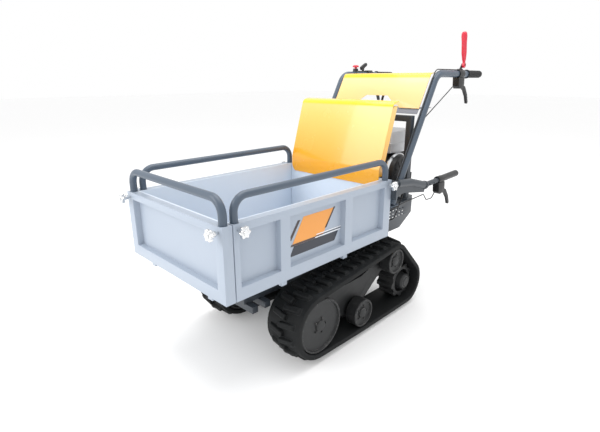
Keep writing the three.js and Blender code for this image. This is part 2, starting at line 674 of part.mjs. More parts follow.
// ---------------------------------------------------------------- tracks
// The belt's inner line: circles round the wheels and straight runs between them, in YZ.
function beltLine() {
  const wheels = [
    IDLER, ROLLER, SPROCKET, CARRIER,
  ].map(({ y, z, r }) => ({ y, z, r: r + WHEEL_GAP }));
  const runs = wheels.map((w, i) => {
    const next = wheels[(i + 1) % wheels.length];
    const dy = next.y - w.y;
    const dz = next.z - w.z;
    const normal = Math.atan2(dz, dy) - Math.acos((w.r - next.r) / Math.hypot(dy, dz));
    return { w, next, normal };
  });
  const pieces = [];
  runs.forEach((run, i) => {
    const before = runs[(i + runs.length - 1) % runs.length];
    let sweep = run.normal - before.normal;
    while (sweep < 0) sweep += 2 * Math.PI;
    pieces.push({ ...run, sweep, from: before.normal, length: run.w.r * sweep });
    const on = (wheel) => [
      wheel.y + wheel.r * Math.cos(run.normal), wheel.z + wheel.r * Math.sin(run.normal)];
    const [a, b] = [on(run.w), on(run.next)];
    pieces.push({ a, b, normal: run.normal, length: Math.hypot(b[0] - a[0], b[1] - a[1]) });
  });
  return pieces;
}
const BELT_LINE = beltLine();
const BELT_LENGTH = BELT_LINE.reduce((sum, piece) => sum + piece.length, 0);

// The point at a length along the inner line, moved outwards by `out`.
function onBelt(length, out) {
  let s = ((length % BELT_LENGTH) + BELT_LENGTH) % BELT_LENGTH;
  const piece = BELT_LINE.find((one) => (s -= one.length) <= 0) ?? BELT_LINE.at(-1);
  const t = (s + piece.length) / piece.length;
  if (piece.sweep !== undefined) {
    const a = piece.from + piece.sweep * t;
    const r = piece.w.r + out;
    return [piece.w.y + r * Math.cos(a), piece.w.z + r * Math.sin(a)];
  }
  return [0, 1].map((k) => {
    const step = k ? Math.sin(piece.normal) : Math.cos(piece.normal);
    return piece.a[k] + (piece.b[k] - piece.a[k]) * t + step * out;
  });
}

function trackBelt() {
  const pitch = BELT_LENGTH / LUG_COUNT;
  const outer = [];
  for (let i = 0; i < LUG_COUNT; i++) {
    const s = i * pitch;
    outer.push(onBelt(s + 0.2 * pitch, BELT), onBelt(s + 0.28 * pitch, BELT + LUG_HEIGHT));
    outer.push(onBelt(s + 0.62 * pitch, BELT + LUG_HEIGHT), onBelt(s + 0.7 * pitch, BELT));
  }
  const inner = BELT_LINE.flatMap((piece, i) => {
    if (piece.sweep === undefined) return [];
    const start = BELT_LINE.slice(0, i).reduce((sum, one) => sum + one.length, 0);
    const steps = Math.max(2, Math.ceil(piece.sweep / 0.26));
    return Array.from({ length: steps + 1 }, (_, k) => onBelt(start + (piece.length * k) / steps, 0));
  });
  const [x0, x1] = [TRACK_INNER, TRACK_INNER + TRACK_WIDTH];
  return cut(plateX(outer, x0, x1), plateX(inner, x0 - 1, x1 + 1));
}

const TRACK_MIDDLE = TRACK_INNER + TRACK_WIDTH / 2;

// A pair of wheels on one axle, one on each side of the track frame's beam.
function wheelPair(y, z, r) {
  const near = BEAM / 2 + 12;
  const far = 84;
  const one = (sign) => {
    const profile = [[0, 0], [AXLE_R, 0], [AXLE_R, near], [r, near], [r, far],
      [r - 10, far], [r - 12, far - 10], [0, far - 10]];
    const geometry = turned(profile, "x", [TRACK_MIDDLE, y, z], 14);
    return sign > 0 ? geometry : mirrored(geometry.translate(-TRACK_MIDDLE, 0, 0))
      .translate(TRACK_MIDDLE, 0, 0);
  };
  return join(one(1), one(-1), rod("x", [TRACK_MIDDLE, y, z], -5, 5, AXLE_R, 14));
}

function sprocket() {
  const r = SPROCKET.r;
  const step = 360 / SPROCKET_TEETH;
  const teeth = Array.from({ length: SPROCKET_TEETH }, (_, i) => [
    ...arc(SPROCKET.y, SPROCKET.z, r - TOOTH_DEPTH, i * step, i * step + step * 0.36, 1),
    ...arc(SPROCKET.y, SPROCKET.z, r, i * step + step * 0.52, i * step + step * 0.84, 1),
  ]).flat();
  const rim = cut(
    plateX(teeth, TRACK_MIDDLE - 45, TRACK_MIDDLE + 45),
    rod("x", [TRACK_MIDDLE, SPROCKET.y, SPROCKET.z], -50, 50, r - 26, 20));
  const web = turned(
    [[0, -30], [34, -30], [40, -8], [r - 20, -6], [r - 20, 8], [46, 10], [40, 62], [32, 70], [0, 70]],
    "x", [TRACK_MIDDLE, SPROCKET.y, SPROCKET.z], 20);
  const windows = Array.from({ length: 5 }, (_, i) => {
    const [[y, z]] = arc(SPROCKET.y, SPROCKET.z, r * 0.64, i * 72 + 18, i * 72 + 18, 1);
    return rod("x", [TRACK_MIDDLE, y, z], -40, 40, r * 0.1, 8);
  });
  const shaft = rod("x", [0, SPROCKET.y, SPROCKET.z], GEARBOX_HALF + 20, TRACK_MIDDLE, SHAFT_R);
  return join(cut(join(rim, web), ...windows), shaft);
}

// Inside each track: a beam with the axle bores, and two arms that bolt to the chassis.
function trackFrame() {
  const x0 = TRACK_MIDDLE - BEAM / 2;
  const x1 = TRACK_MIDDLE + BEAM / 2;
  const beam = plateX(
    [[IDLER.y - 24, IDLER.z - 18], [IDLER.y + 22, IDLER.z - 26], [ROLLER.y, ROLLER.z - 24],
      [ROLLER.y + 70, ROLLER.z + 10], [CARRIER.y + 26, CARRIER.z - 20], [CARRIER.y + 10, CARRIER.z + 26],
      [ARM_PLACES[1], ARM_Z + 30], [ARM_PLACES[0] - 30, ARM_Z + 24], [IDLER.y - 16, IDLER.z + 26]],
    x0, x1);
  const arms = ARM_PLACES.flatMap((y) => [
    barX([CHASSIS_X + CHASSIS_TUBE / 2 + SEAM, x0 + 4], y, ARM_Z, ARM),
    block(CHASSIS_X + CHASSIS_TUBE / 2 + SEAM, CHASSIS_X + CHASSIS_TUBE / 2 + 8,
      y - 30, y + 30, ARM_Z - 16, CHASSIS_TOP - 4),
  ]);
  const bores = [IDLER, ROLLER, CARRIER].map(({ y, z }) =>
    rod("x", [TRACK_MIDDLE, y, z], -BEAM, BEAM, AXLE_R + RUNNING_FIT));
  return cut(join(beam, ...arms), ...bores);
}

bothSides("track_belt", trackBelt(), RUBBER);
bothSides("track_frame", trackFrame(), IRON);
bothSides("sprocket", sprocket(), IRON);
Object.entries({ idler: IDLER, roller: ROLLER, carrier: CARRIER }).forEach(([name, { y, z, r }]) =>
  bothSides(name, wheelPair(y, z, r), IRON));

// ---------------------------------------------------------------- chassis and drive
function chassisFrame() {
  const z = CHASSIS_TOP - CHASSIS_TUBE / 2;
  const inside = CHASSIS_X - CHASSIS_TUBE / 2;
  const post = (x, y) => barZ(x, y, [CHASSIS_TOP - 2, DECK_Z - SEAM], POST);
  const lug = (x0, x1) => plateX(
    [[HINGE_Y - 25, z], [HINGE_Y + 25, z], ...arc(HINGE_Y, HINGE_Z, LUG_R - 2, 0, 180, 8)], x0, x1);
  const bumper = (x) => block(x - 13, x + 13, 785, 815, CHASSIS_TOP - 2, BED_BASE - SEAM - BED_TUBE - SEAM);
  const striker = (x0, x1) => block(x0, x1, LATCH_Y - 17, LATCH_Y + 1, CHASSIS_TOP - 2, STRIKER_Z + 12);
  const reach = TRACK_INNER - 5;
  return join(
    ...[-CHASSIS_X, CHASSIS_X].map((x) => barY(x, [CHASSIS_FRONT, CHASSIS_REAR], z, CHASSIS_TUBE)),
    ...CROSS_PLACES.map((y) => barX([-reach, reach], y, CHASSIS_TOP - CHASSIS_TUBE - 12, CROSS_TUBE)),
    ...ARM_PLACES.map((y) => barX([-inside - 2, inside + 2], y, z, CHASSIS_TUBE - 6)),
    barX([-inside - 2, inside + 2], LATCH_Y - 8, z, CHASSIS_TUBE),
    barX([-inside - 2, inside + 2], CHASSIS_REAR - CHASSIS_TUBE / 2, z, CHASSIS_TUBE),
    ...[-CHASSIS_X, CHASSIS_X].flatMap((x) => POST_PLACES.map((y) => post(x, y))),
    lug(CHASSIS_LUG[0], CHASSIS_LUG[1]),
    lug(-CHASSIS_LUG[1], -CHASSIS_LUG[0]),
    rod("x", [0, HINGE_Y, HINGE_Z], -BED_LUG[1] - 10, BED_LUG[1] + 10, HINGE_PIN_R),
    bumper(BED_TUBE_X - 10),
    bumper(-BED_TUBE_X + 10),
    striker(9, 15),
    striker(-15, -9),
    rod("x", [0, LATCH_Y - 8, STRIKER_Z], -14, 14, STRIKER_R, 10),
  );
}

// The gearbox hangs between the chassis tubes, with an axle housing to each side.
function gearbox() {
  const y = SPROCKET.y;
  const half = GEARBOX_HALF;
  const low = SPROCKET.z - 56;
  const body = plateX(
    [[y - 150, low + 10], [y + 30, low], [y + 58, low + 30], [y + 58, 250], [y + 20, 330],
      [y - 126, 330], [y - 150, 250]], -half, half);
  const housing = turned(
    [[0, -TRACK_INNER + 9], [27, -TRACK_INNER + 9], [32, -half], [32, half],
      [27, TRACK_INNER - 9], [0, TRACK_INNER - 9]],
    "x", [0, y, SPROCKET.z], 20);
  const ribs = [-36, 0, 36].map((x) => block(x - 3, x + 3, y - 156, y + 64, low + 34, 300));
  const bore = (a, b) => rod("x", [0, y, SPROCKET.z], a, b, SHAFT_R + RUNNING_FIT);
  return cut(
    join(body, housing, ...ribs), bore(GEARBOX_HALF + 18, 200), bore(-200, -GEARBOX_HALF - 18));
}

function engineFrame() {
  const top = DECK_Z + DECK;
  const t = PORTAL_TUBE;
  const leg = (x) => barZ(x, PORTAL_Y, [top - 1, PORTAL_TOP], t);
  const foot = (x) => block(x - 28, x + 28, PORTAL_Y - 26, PORTAL_Y + 26, top - 1, top + 6);
  return join(
    ...DECK_STEPS.map(([rear, half]) =>
      plateZ(roundedRectangle(-half, half, DECK_FRONT, rear, 14, 3), DECK_Z, top)),
    leg(PORTAL_X),
    leg(-PORTAL_X),
    foot(PORTAL_X),
    foot(-PORTAL_X),
    barX([-PORTAL_X - t / 2, PORTAL_X + t / 2], PORTAL_Y, PORTAL_TOP - t / 2, t),
  );
}

// Three walls of sheet below the deck, round the belt drive, with cooling slots.
function driveCover() {
  const top = DECK_Z - SEAM;
  const h = COVER_HALF;
  const shell = cut(
    block(-h, h, COVER_FRONT, COVER_REAR, COVER_BOTTOM, top),
    block(-h + COVER_SHEET, h - COVER_SHEET, COVER_FRONT - 1, COVER_REAR - COVER_SHEET,
      COVER_BOTTOM - 1, top + 1));
  const slope = plateX(
    [[COVER_REAR - 105, COVER_BOTTOM - 1], [COVER_REAR + 1, COVER_BOTTOM + 62],
      [COVER_REAR + 1, COVER_BOTTOM - 1]], -h - 1, h + 1);
  const slots = [];
  for (const row of [0, 1, 2])
    for (const column of [0, 1, 2, 3, 4])
      slots.push(block(-h - 1, h + 1, 1024 + 28 * column, 1037 + 28 * column,
        436 + 17 * row, 441 + 17 * row));
  return cut(shell, slope, ...slots);
}

function engineBlock() {
  const base = DECK_Z + DECK + SEAM;
  const crankcase = rod("x", [0, CRANK_Y, CRANK_Z], -112, FAN_BACK - SEAM, CASE_R, 16);
  const foot = plateX(
    [[CRANK_Y - 92, base], [CRANK_Y + 92, base], [CRANK_Y + 84, base + 16],
      [CRANK_Y + 60, CRANK_Z], [CRANK_Y - 60, CRANK_Z], [CRANK_Y - 84, base + 16]], -92, 100);
  const head = block(-62, 78, CRANK_Y - 118, CRANK_Y - 40, CRANK_Z - 10, CRANK_Z + 84);
  const fins = Array.from({ length: 5 }, (_, i) =>
    block(-72, 90, CRANK_Y - 124 + i * 18, CRANK_Y - 117 + i * 18, CRANK_Z - 18, CRANK_Z + 92));
  const shaft = rod("x", [0, CRANK_Y, CRANK_Z], -178, -100, 12);
  const pulley = turned(
    [[0, -172], [52, -172], [52, -166], [42, -158], [52, -150], [52, -144], [0, -144]],
    "x", [0, CRANK_Y, CRANK_Z], 16);
  return join(crankcase, foot, head, ...fins, shaft, pulley);
}

// The fan cover is a hollow drum; the starter's rope leaves it through a slot at the rear.
const ROPE_X = 176;
const ROPE_Z = CRANK_Z - 54;
function recoilCover() {
  const r = FAN_R;
  const drum = turned(
    [[CASE_R + 4, FAN_BACK], [r, FAN_BACK], [r, FAN_FACE - 40], [r - 6, FAN_FACE - 34],
      [r - 18, FAN_FACE], [0, FAN_FACE], [0, FAN_FACE - 4],
      [r - 22, FAN_FACE - 4], [r - 12, FAN_FACE - 36], [r - 4, FAN_FACE - 44], [r - 4, FAN_BACK + 4], [CASE_R + 4, FAN_BACK + 4],
      [CASE_R + 4, FAN_BACK]],
    "x", [0, CRANK_Y, CRANK_Z], 16);
  const louvres = Array.from({ length: 8 }, (_, i) => {
    const [[y, z]] = arc(CRANK_Y, CRANK_Z, 52, i * 45, i * 45, 1);
    const slot = block(FAN_FACE - 6, FAN_FACE + 1, -22, 22, -4, 4);
    return slot.rotateX(THREE.MathUtils.degToRad(i * 45)).translate(0, y, z);
  });
  const outlet = block(ROPE_X - 9, ROPE_X + 9, CRANK_Y + 30, CRANK_Y + r + 5, ROPE_Z - 9, ROPE_Z + 9);
  return cut(drum, ...louvres, outlet);
}

// The pull handle with the straight stretch of rope that lies inside the cover at rest.
function recoilHandle() {
  const y = CRANK_Y + FAN_R + 6;
  return join(
    rod("y", [ROPE_X, 0, ROPE_Z], CRANK_Y - 60, y + 8, 2.5, 8),
    turned([[0, y], [7, y], [10, y + 12], [12, y + 22], [0, y + 26]], "y", [ROPE_X, 0, ROPE_Z], 12),
    block(ROPE_X - 11, ROPE_X + 11, y + 12, y + 28, ROPE_Z - 36, ROPE_Z + 36),
  );
}

function fuelTank() {
  const bevel = 12;
  const { x0, x1, y0, y1, z0, z1, corner } = TANK;
  const outline = roundedRectangle(
    x0 + bevel, x1 - bevel, y0 + bevel, y1 - bevel, corner - bevel, 2);
  const shape = new THREE.Shape(outline.map(([x, y]) => new THREE.Vector2(x, y)));
  const shell = new THREE.ExtrudeGeometry(shape, {
    depth: z1 - z0 - 2 * bevel, bevelThickness: bevel, bevelSize: bevel, bevelSegments: 2,
  }).translate(0, 0, z0 + bevel);
  const seam = plateZ(roundedRectangle(x0 - 5, x1 + 5, y0 - 5, y1 + 5, corner, 2), 784, 789);
  const legs = [-90, 110].map((x) => barZ(x, CRANK_Y + 20, [CRANK_Z + 80, z0 + 4], 24));
  const brackets = [-90, 110].map((x) =>
    block(x - 12, x + 12, CRANK_Y - 30, CRANK_Y + 32, CRANK_Z + 93, CRANK_Z + 97));
  const neck = rod("z", [TANK_NECK[0], TANK_NECK[1], 0], z1 - 5, z1 + 6, 21, 16);
  return join(shell, seam, neck, ...legs, ...brackets);
}
const TANK_NECK = [30, 1205];

part("chassis_frame", chassisFrame(), FRAME_GREY);
part("gearbox", gearbox(), IRON);
part("engine_frame", engineFrame(), FRAME_GREY);
part("drive_cover", driveCover(), FRAME_GREY);
part("engine_block", engineBlock(), ALLOY);
part("recoil_cover", recoilCover(), BLACK);
part("recoil_handle", recoilHandle(), BLACK);
part("fuel_tank", fuelTank(), TANK_GREY);
part("fuel_cap", turned(
  [[0, TANK.z1 + 7], [23, TANK.z1 + 7], [23, TANK.z1 + 1], [27, TANK.z1 + 4], [27, TANK.z1 + 20],
    [22, TANK.z1 + 26], [0, TANK.z1 + 26]], "z", [...TANK_NECK, 0], 16), BLACK);
part("air_filter", join(
  plateZ(roundedRectangle(-4, 122, 1272, 1352, 14, 3), 618, 700),
  plateZ(roundedRectangle(-10, 128, 1266, 1358, 18, 3), 694, 726),
  block(20, 70, CRANK_Y + CASE_R + SEAM, 1280, 630, 670)), BLACK);
part("muffler", join(
  plateZ(roundedRectangle(-170, -30, 1274, 1352, 18, 3), 610, 702),
  block(-160, -40, 1268, 1276, 622, 690),
  block(-80, -56, CRANK_Y + CASE_R + SEAM, 1276, 640, 664),
  rod("z", [-150, 1330, 0], 700, 716, 10, 12)), IRON);

// ---------------------------------------------------------------- handlebars and controls
const RISE = THREE.MathUtils.degToRad(BAR_RISE);
const barAt = (z) => BAR_BEND_Y - (BAR_TOP - z) / Math.tan(RISE);
const BAR_FOOT = DECK_Z + DECK + 7;
// A point beside the sloping run, `out` away from its centre line towards the operator.
const beside = (x, z, out) => [x, barAt(z) + out * Math.sin(RISE), z - out * Math.cos(RISE)];

function handlebar() {
  const foot = BAR_FOOT + 3;
  const tube = bentBar(
    [[BAR_X, barAt(foot), foot], [BAR_X, BAR_BEND_Y, BAR_TOP], [BAR_X, BAR_END - 4, BAR_TOP]],
    BAR_R, BAR_BEND, 14);
  const y = barAt(BAR_FOOT);
  const under = DECK_Z + DECK + SEAM;
  const cheek = plateX(
    [[y - 24, under + 3], [y + 40, under + 3], [y + 46, under + 62], [y + 18, under + 66]],
    BAR_X - 3, BAR_X + 3);
  return join(
    tube,
    block(BAR_X - 26, BAR_X + 17, y - 30, y + 44, under, under + 7),
    cheek,
  );
}

function handleGrip() {
  const y0 = BAR_END - GRIP_LENGTH;
  const sleeve = turned(
    [[0, y0], [GRIP_R + 4, y0], [GRIP_R + 4, y0 + 8], [GRIP_R, y0 + 12], [GRIP_R, BAR_END - 2],
      [GRIP_R - 3, BAR_END], [0, BAR_END]], "y", [BAR_X, 0, BAR_TOP], 14);
  return cut(sleeve, rod("y", [BAR_X, 0, BAR_TOP], y0 - 1, BAR_END - 4 + SEAM, BAR_R + SEAM, 14));
}

bothSides("handlebar", handlebar(), RAIL_GREY);
bothSides("grip", handleGrip(), BLACK);

const perchAt = [BAR_X, PERCH_Y, BAR_TOP];
const ringTop = BAR_TOP + BAR_R;

// Left bracket: also carries the pivot plate of the red clutch lever above the bar.
function leftBracket() {
  const { y, z } = RED_LEVER;
  const plate = plateX(
    [[y - 30, ringTop + 1], [y - 6, ringTop + 1], [y + 9, z - 4], ...arc(y, z, 9, 0, 180, 5)],
    BAR_X - 8, BAR_X - 4);
  const pin = rod("x", [BAR_X, y, z], -6, 12, PIVOT_R, 10);
  return join(leverPerch(perchAt, BAR_R), plate, pin,
    block(BAR_X - 10, BAR_X + 6, y - 42, y - 10, ringTop, ringTop + 8));
}

// The red lever stands up at rest, leaning forward, and is pressed down towards the grip.
function clutchLever() {
  const { y, z, length, lean } = RED_LEVER;
  const handle = turned(
    [[0, 0], [6, 0], [6, 18], [10, 28], [13, 60], [13, length - 40], [15, length - 14],
      [10, length - 2], [0, length]], "z", [0, 0, 0], 12);
  const hub = rod("x", [0, 0, 0], -4, 9, 14, 16);
  return cut(
    join(handle.translate(2.5, 0, 4), hub),
    rod("x", [0, 0, 0], -20, 30, PIVOT_R + RUNNING_FIT, 10),
  ).rotateX(THREE.MathUtils.degToRad(-lean)).translate(BAR_X + 1, y, z);
}

const STOP_Y = 1408;
const THROTTLE_Y = 1470;
// Right bracket: also carries the stop switch's socket and the throttle's pivot.
function rightBracket() {
  const perch = leverPerch(perchAt, BAR_R);
  const bridge = block(BAR_X - 9, BAR_X + 9, STOP_Y - 16, PERCH_Y, ringTop + SEAM, ringTop + 5);
  const ring = turned(
    [[7 + RUNNING_FIT, 0], [15, 0], [15, 12], [7 + RUNNING_FIT, 12], [7 + RUNNING_FIT, 0]],
    "z", [BAR_X, STOP_Y, ringTop + 4.5], 16);
  const post = block(BAR_X - 9, BAR_X - 5, THROTTLE_Y - 9, THROTTLE_Y + 9, ringTop + 4, ringTop + 30);
  const pin = rod("x", [BAR_X, THROTTLE_Y, ringTop + 20], -7, 12, PIVOT_R, 10);
  const collar = block(BAR_X - 10, BAR_X + 10, PERCH_Y - 24, PERCH_Y + 24, ringTop, ringTop + 8);
  return mirrored(join(perch, bridge, ring, post, pin, collar));
}

// A mushroom button; its stem slides in the bracket's ring.
function stopSwitch() {
  const z = ringTop + 4.5;
  return turned(
    [[0, 6], [7, 6], [7, 18], [18, 20], [18, 26], [12, 31], [0, 32]],
    "z", [-BAR_X, STOP_Y, z], 18);
}

function throttleLever() {
  const y = THROTTLE_Y;
  const z = ringTop + 20;
  const arm = plateX(
    [...arc(y, z, 11, 110, 300, 6), [y + 24, z + 4], [y + 42, z + 14], [y + 45, z + 24],
      [y + 36, z + 30], [y + 18, z + 22]], -BAR_X - 9, -BAR_X + 4);
  return cut(arm, rod("x", [-BAR_X, y, z], -20, 20, PIVOT_R + RUNNING_FIT, 10));
}

part("left_lever_bracket", leftBracket(), BLACK);
part("right_lever_bracket", rightBracket(), BLACK);
bothSides("steering_lever", bladeLever(perchAt), BLACK);
part("clutch_lever", clutchLever(), RED);
part("stop_switch", stopSwitch(), RED);
part("throttle_lever", throttleLever(), BLACK);

// Console: a folded yellow sheet between the handlebars, with a gate for the gear lever.
const CONSOLE_TOP = BAR_TOP - 4;
function consolePanel() {
  const front = 14; // sheet in front of the bars' centre line
  const line = [
    beside(0, CONSOLE_BOTTOM, -front).slice(1),
    beside(0, CONSOLE_TOP, -front).slice(1),
    [barAt(CONSOLE_TOP) + CONSOLE_LIP, CONSOLE_TOP + 9],
  ];
  const h = CONSOLE_HALF;
  const sheet = foldedSheet(line, CONSOLE_SHEET, CONSOLE_FOLD, -h, h);
  const z = CONSOLE_BOTTOM;
  const gate = plateY(
    [[-160, z - 30], [160, z - 30], [160, z], [142, z + 20], [122, z + 20], [66, z + 62],
      [-66, z + 62], [-122, z + 20], [-142, z + 20], [-160, z]], 1100, 1400);
  return cut(sheet, gate);
}

// The tray behind the console is folded from a grey sheet; the gear lever stands in it.
const TRAY_Y = barAt(CONSOLE_BOTTOM) + 4;
const GEAR_Y = TRAY_Y + 62;
function consoleTray() {
  const h = CONSOLE_HALF - 4;
  const line = [
    [TRAY_Y - 24, CONSOLE_BOTTOM - 18], [TRAY_Y - 10, CONSOLE_BOTTOM + 6],
    [TRAY_Y + 108, CONSOLE_BOTTOM + 6]];
  const gateSlot = block(-14, 14, GEAR_Y - 30, GEAR_Y + 30, CONSOLE_BOTTOM - 20, CONSOLE_BOTTOM + 30);
  const ear = (x0, x1) => plateX(
    [[GEAR_Y - 20, CONSOLE_BOTTOM + 6], [GEAR_Y + 20, CONSOLE_BOTTOM + 6],
      [GEAR_Y + 9, CONSOLE_BOTTOM - 24], [GEAR_Y - 9, CONSOLE_BOTTOM - 24]], x0, x1);
  const pin = rod("x", [0, GEAR_Y, CONSOLE_BOTTOM - 12], -19, 19, PIVOT_R, 10);
  return join(
    cut(foldedSheet(line, CONSOLE_SHEET, 8, -h, h), gateSlot), ear(15, 19), ear(-19, -15), pin);
}

function gearLever() {
  const z = CONSOLE_BOTTOM - 12;
  const stick = bentBar(
    [[0, GEAR_Y, z], [0, GEAR_Y, z + 54], [0, GEAR_Y + 34, z + 118]], 6, 30, 6);
  const eye = rod("x", [0, GEAR_Y, z], -8, 8, 11);
  const knob = new THREE.SphereGeometry(17, 10, 6).translate(0, GEAR_Y + 38, z + 126);
  return cut(join(stick, eye, knob), rod("x", [0, GEAR_Y, z], -20, 20, PIVOT_R + RUNNING_FIT, 10));
}

part("console_panel", consolePanel(), YELLOW);
part("console_tray", consoleTray(), TRAY_GREY);
part("gear_lever", gearLever(), BLACK);

// ---------------------------------------------------------------- cables
const cable = (points, bend) => bentBar(points, CABLE_R, bend, 6);

// Steering cable: from the lever bracket to the bar, down its rear side, under the deck's front
// edge and into the top of the gearbox.
function steeringCable() {
  const off = BAR_R + CABLE_R + SEAM;
  const perchFront = PERCH_Y - PERCH_LENGTH / 2 - SEAM;
  return cable([
    [BAR_X, perchFront, BAR_TOP - 58],
    [BAR_X, perchFront - 30, BAR_TOP - 64],
    beside(BAR_X, 925, off + 6),
    beside(BAR_X + 6, 640, off),
    [DECK_HALF + 9, barAt(640) - 4, 590],
    [DECK_HALF + 9, DECK_FRONT + 16, 470],
    [150, DECK_FRONT + 12, 380],
    [44, DECK_FRONT + 20, 352],
    [44, DECK_FRONT + 36, 334],
  ], 18);
}

// Clutch cable: along the top of the left bar, down its front side, to the belt tensioner.
function clutchCable() {
  const off = BAR_R + CABLE_R + SEAM;
  const top = BAR_TOP + off;
  return cable([
    [BAR_X, PERCH_Y - PERCH_LENGTH / 2 + 5, top],
    [BAR_X, BAR_BEND_Y - 14, top],
    beside(BAR_X, 640, -off),
    [BAR_X - 14, DECK_FRONT - 10, 560],
    [180, DECK_FRONT - 10, 470],
    [130, DECK_FRONT + 30, 440],
  ], 40);
}

// Tipping cable: from the bracket on the tipping handle, round behind the bed, to the latch.
function dumpCable() {
  const [x, y, z] = dumpPerchAt;
  return cable([
    [x, y - PERCH_LENGTH / 2 - 4, z - 58],
    [x, y - 66, z - 86],
    [x, y - 118, z - 84],
    [x, y - 150, z - 50],
    [x - 4, DECK_FRONT + 40, 540],
    [DECK_HALF + 14, 936, 520],
    [180, 932, 420],
    [40, 928, 372],
    [12, 912, 366],
  ], 16);
}

bothSides("steering_cable", steeringCable(), BLACK);
part("clutch_cable", clutchCable(), BLACK);
part("dump_cable", dumpCable(), BLACK);

// ---------------------------------------------------------------- the whole machine
const box = new THREE.Box3().setFromObject(machine);
machine.position.set(0, -(box.min.y + box.max.y) / 2, -GROUND);

export default machine;
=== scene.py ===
# %% [markdown]
# # A tracked power wheelbarrow
# The machine carries soil in a tipping bed, drives on two rubber tracks and is steered from behind.
# Its solids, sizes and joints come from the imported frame. This lesson gives every piece the surface it
# has on the real machine: rounded folds and moulded edges in the mesh, and paint, rubber and metal in
# the nodes.

# %% Load the frame
import json
import math

import bmesh
import bpy
from mathutils import Matrix, Vector


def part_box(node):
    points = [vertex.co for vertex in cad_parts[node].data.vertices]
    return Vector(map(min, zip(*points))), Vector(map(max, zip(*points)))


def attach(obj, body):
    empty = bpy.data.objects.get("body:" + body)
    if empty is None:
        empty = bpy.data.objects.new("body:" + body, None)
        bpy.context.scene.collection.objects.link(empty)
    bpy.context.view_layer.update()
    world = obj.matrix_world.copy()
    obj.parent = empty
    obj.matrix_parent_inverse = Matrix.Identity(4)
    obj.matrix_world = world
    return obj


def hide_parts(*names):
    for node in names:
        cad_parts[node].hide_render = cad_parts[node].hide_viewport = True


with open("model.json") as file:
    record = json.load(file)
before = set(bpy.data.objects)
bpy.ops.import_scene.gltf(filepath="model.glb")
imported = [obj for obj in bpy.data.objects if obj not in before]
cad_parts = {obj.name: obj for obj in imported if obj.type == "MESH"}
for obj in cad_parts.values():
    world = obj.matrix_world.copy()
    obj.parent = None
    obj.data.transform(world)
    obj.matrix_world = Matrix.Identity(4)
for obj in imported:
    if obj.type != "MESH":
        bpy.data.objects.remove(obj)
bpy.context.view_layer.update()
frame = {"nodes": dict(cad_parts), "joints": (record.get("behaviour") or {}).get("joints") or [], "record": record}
nodes = frame["nodes"]
body_of_node = {n: b for b, members in frame["record"]["behaviour"]["bodies"].items() for n in members}
slot_of_node = {s["node"]: s["material_slot"] for s in frame["record"]["subparts"]}
joint_named = {j["name"]: j for j in frame["joints"]}
print("nodes:", len(nodes), "joints:", len(joint_named))

# %% [markdown]
# The camera stands in front of the machine's left corner, a little above the load bed and looking
# slightly down. It comes first, because it decides which edges need the finest work. A short lens on a
# near camera gives the strong perspective of the long bed.

# %% Camera
CAMERA_PLACE = Vector((1.339, -1.558, 1.121))
CAMERA_AZIMUTH = math.radians(44.8)
CAMERA_PITCH = math.radians(17.8)
CAMERA_ROLL = math.radians(-0.1)
CAMERA_LENS = 25.65

camera_data = bpy.data.cameras.new("camera")
camera_data.lens = CAMERA_LENS
camera_data.sensor_width = 36.0
camera = bpy.data.objects.new("camera", camera_data)
bpy.context.scene.collection.objects.link(camera)
turn = Matrix.Rotation(CAMERA_AZIMUTH, 4, "Z") @ Matrix.Rotation(math.pi / 2 - CAMERA_PITCH, 4, "X")
camera.matrix_world = Matrix.Translation(CAMERA_PLACE) @ turn @ Matrix.Rotation(CAMERA_ROLL, 4, "Z")
bpy.context.scene.camera = camera
print("camera at", tuple(round(c, 3) for c in CAMERA_PLACE))

# %% [markdown]
# A material is a small sum: a base colour, plus dust, plus wear. Writing that sum as Python keeps it
# readable, so a socket is wrapped in a class whose operators add Math nodes. Any other node comes from
# one method of the builder, which takes the node's type, its settings and its inputs.


# %% Shader sums
class Value:
    """A number on a shader wire; its operators add Math nodes."""

    def __init__(self, builder, socket):
        self.builder = builder
        self.socket = socket

    def _math(self, operation, first, second=0.0):
        return Value(self.builder, self.builder.node(
            "ShaderNodeMath", {"operation": operation}, {0: first, 1: second}).outputs[0])

    def __add__(self, other):
        return self._math("ADD", self, other)

    def __radd__(self, other):
        return self._math("ADD", other, self)

    def __sub__(self, other):
        return self._math("SUBTRACT", self, other)

    def __rsub__(self, other):
        return self._math("SUBTRACT", other, self)

    def __mul__(self, other):
        return self._math("MULTIPLY", self, other)

    def __rmul__(self, other):
        return self._math("MULTIPLY", other, self)


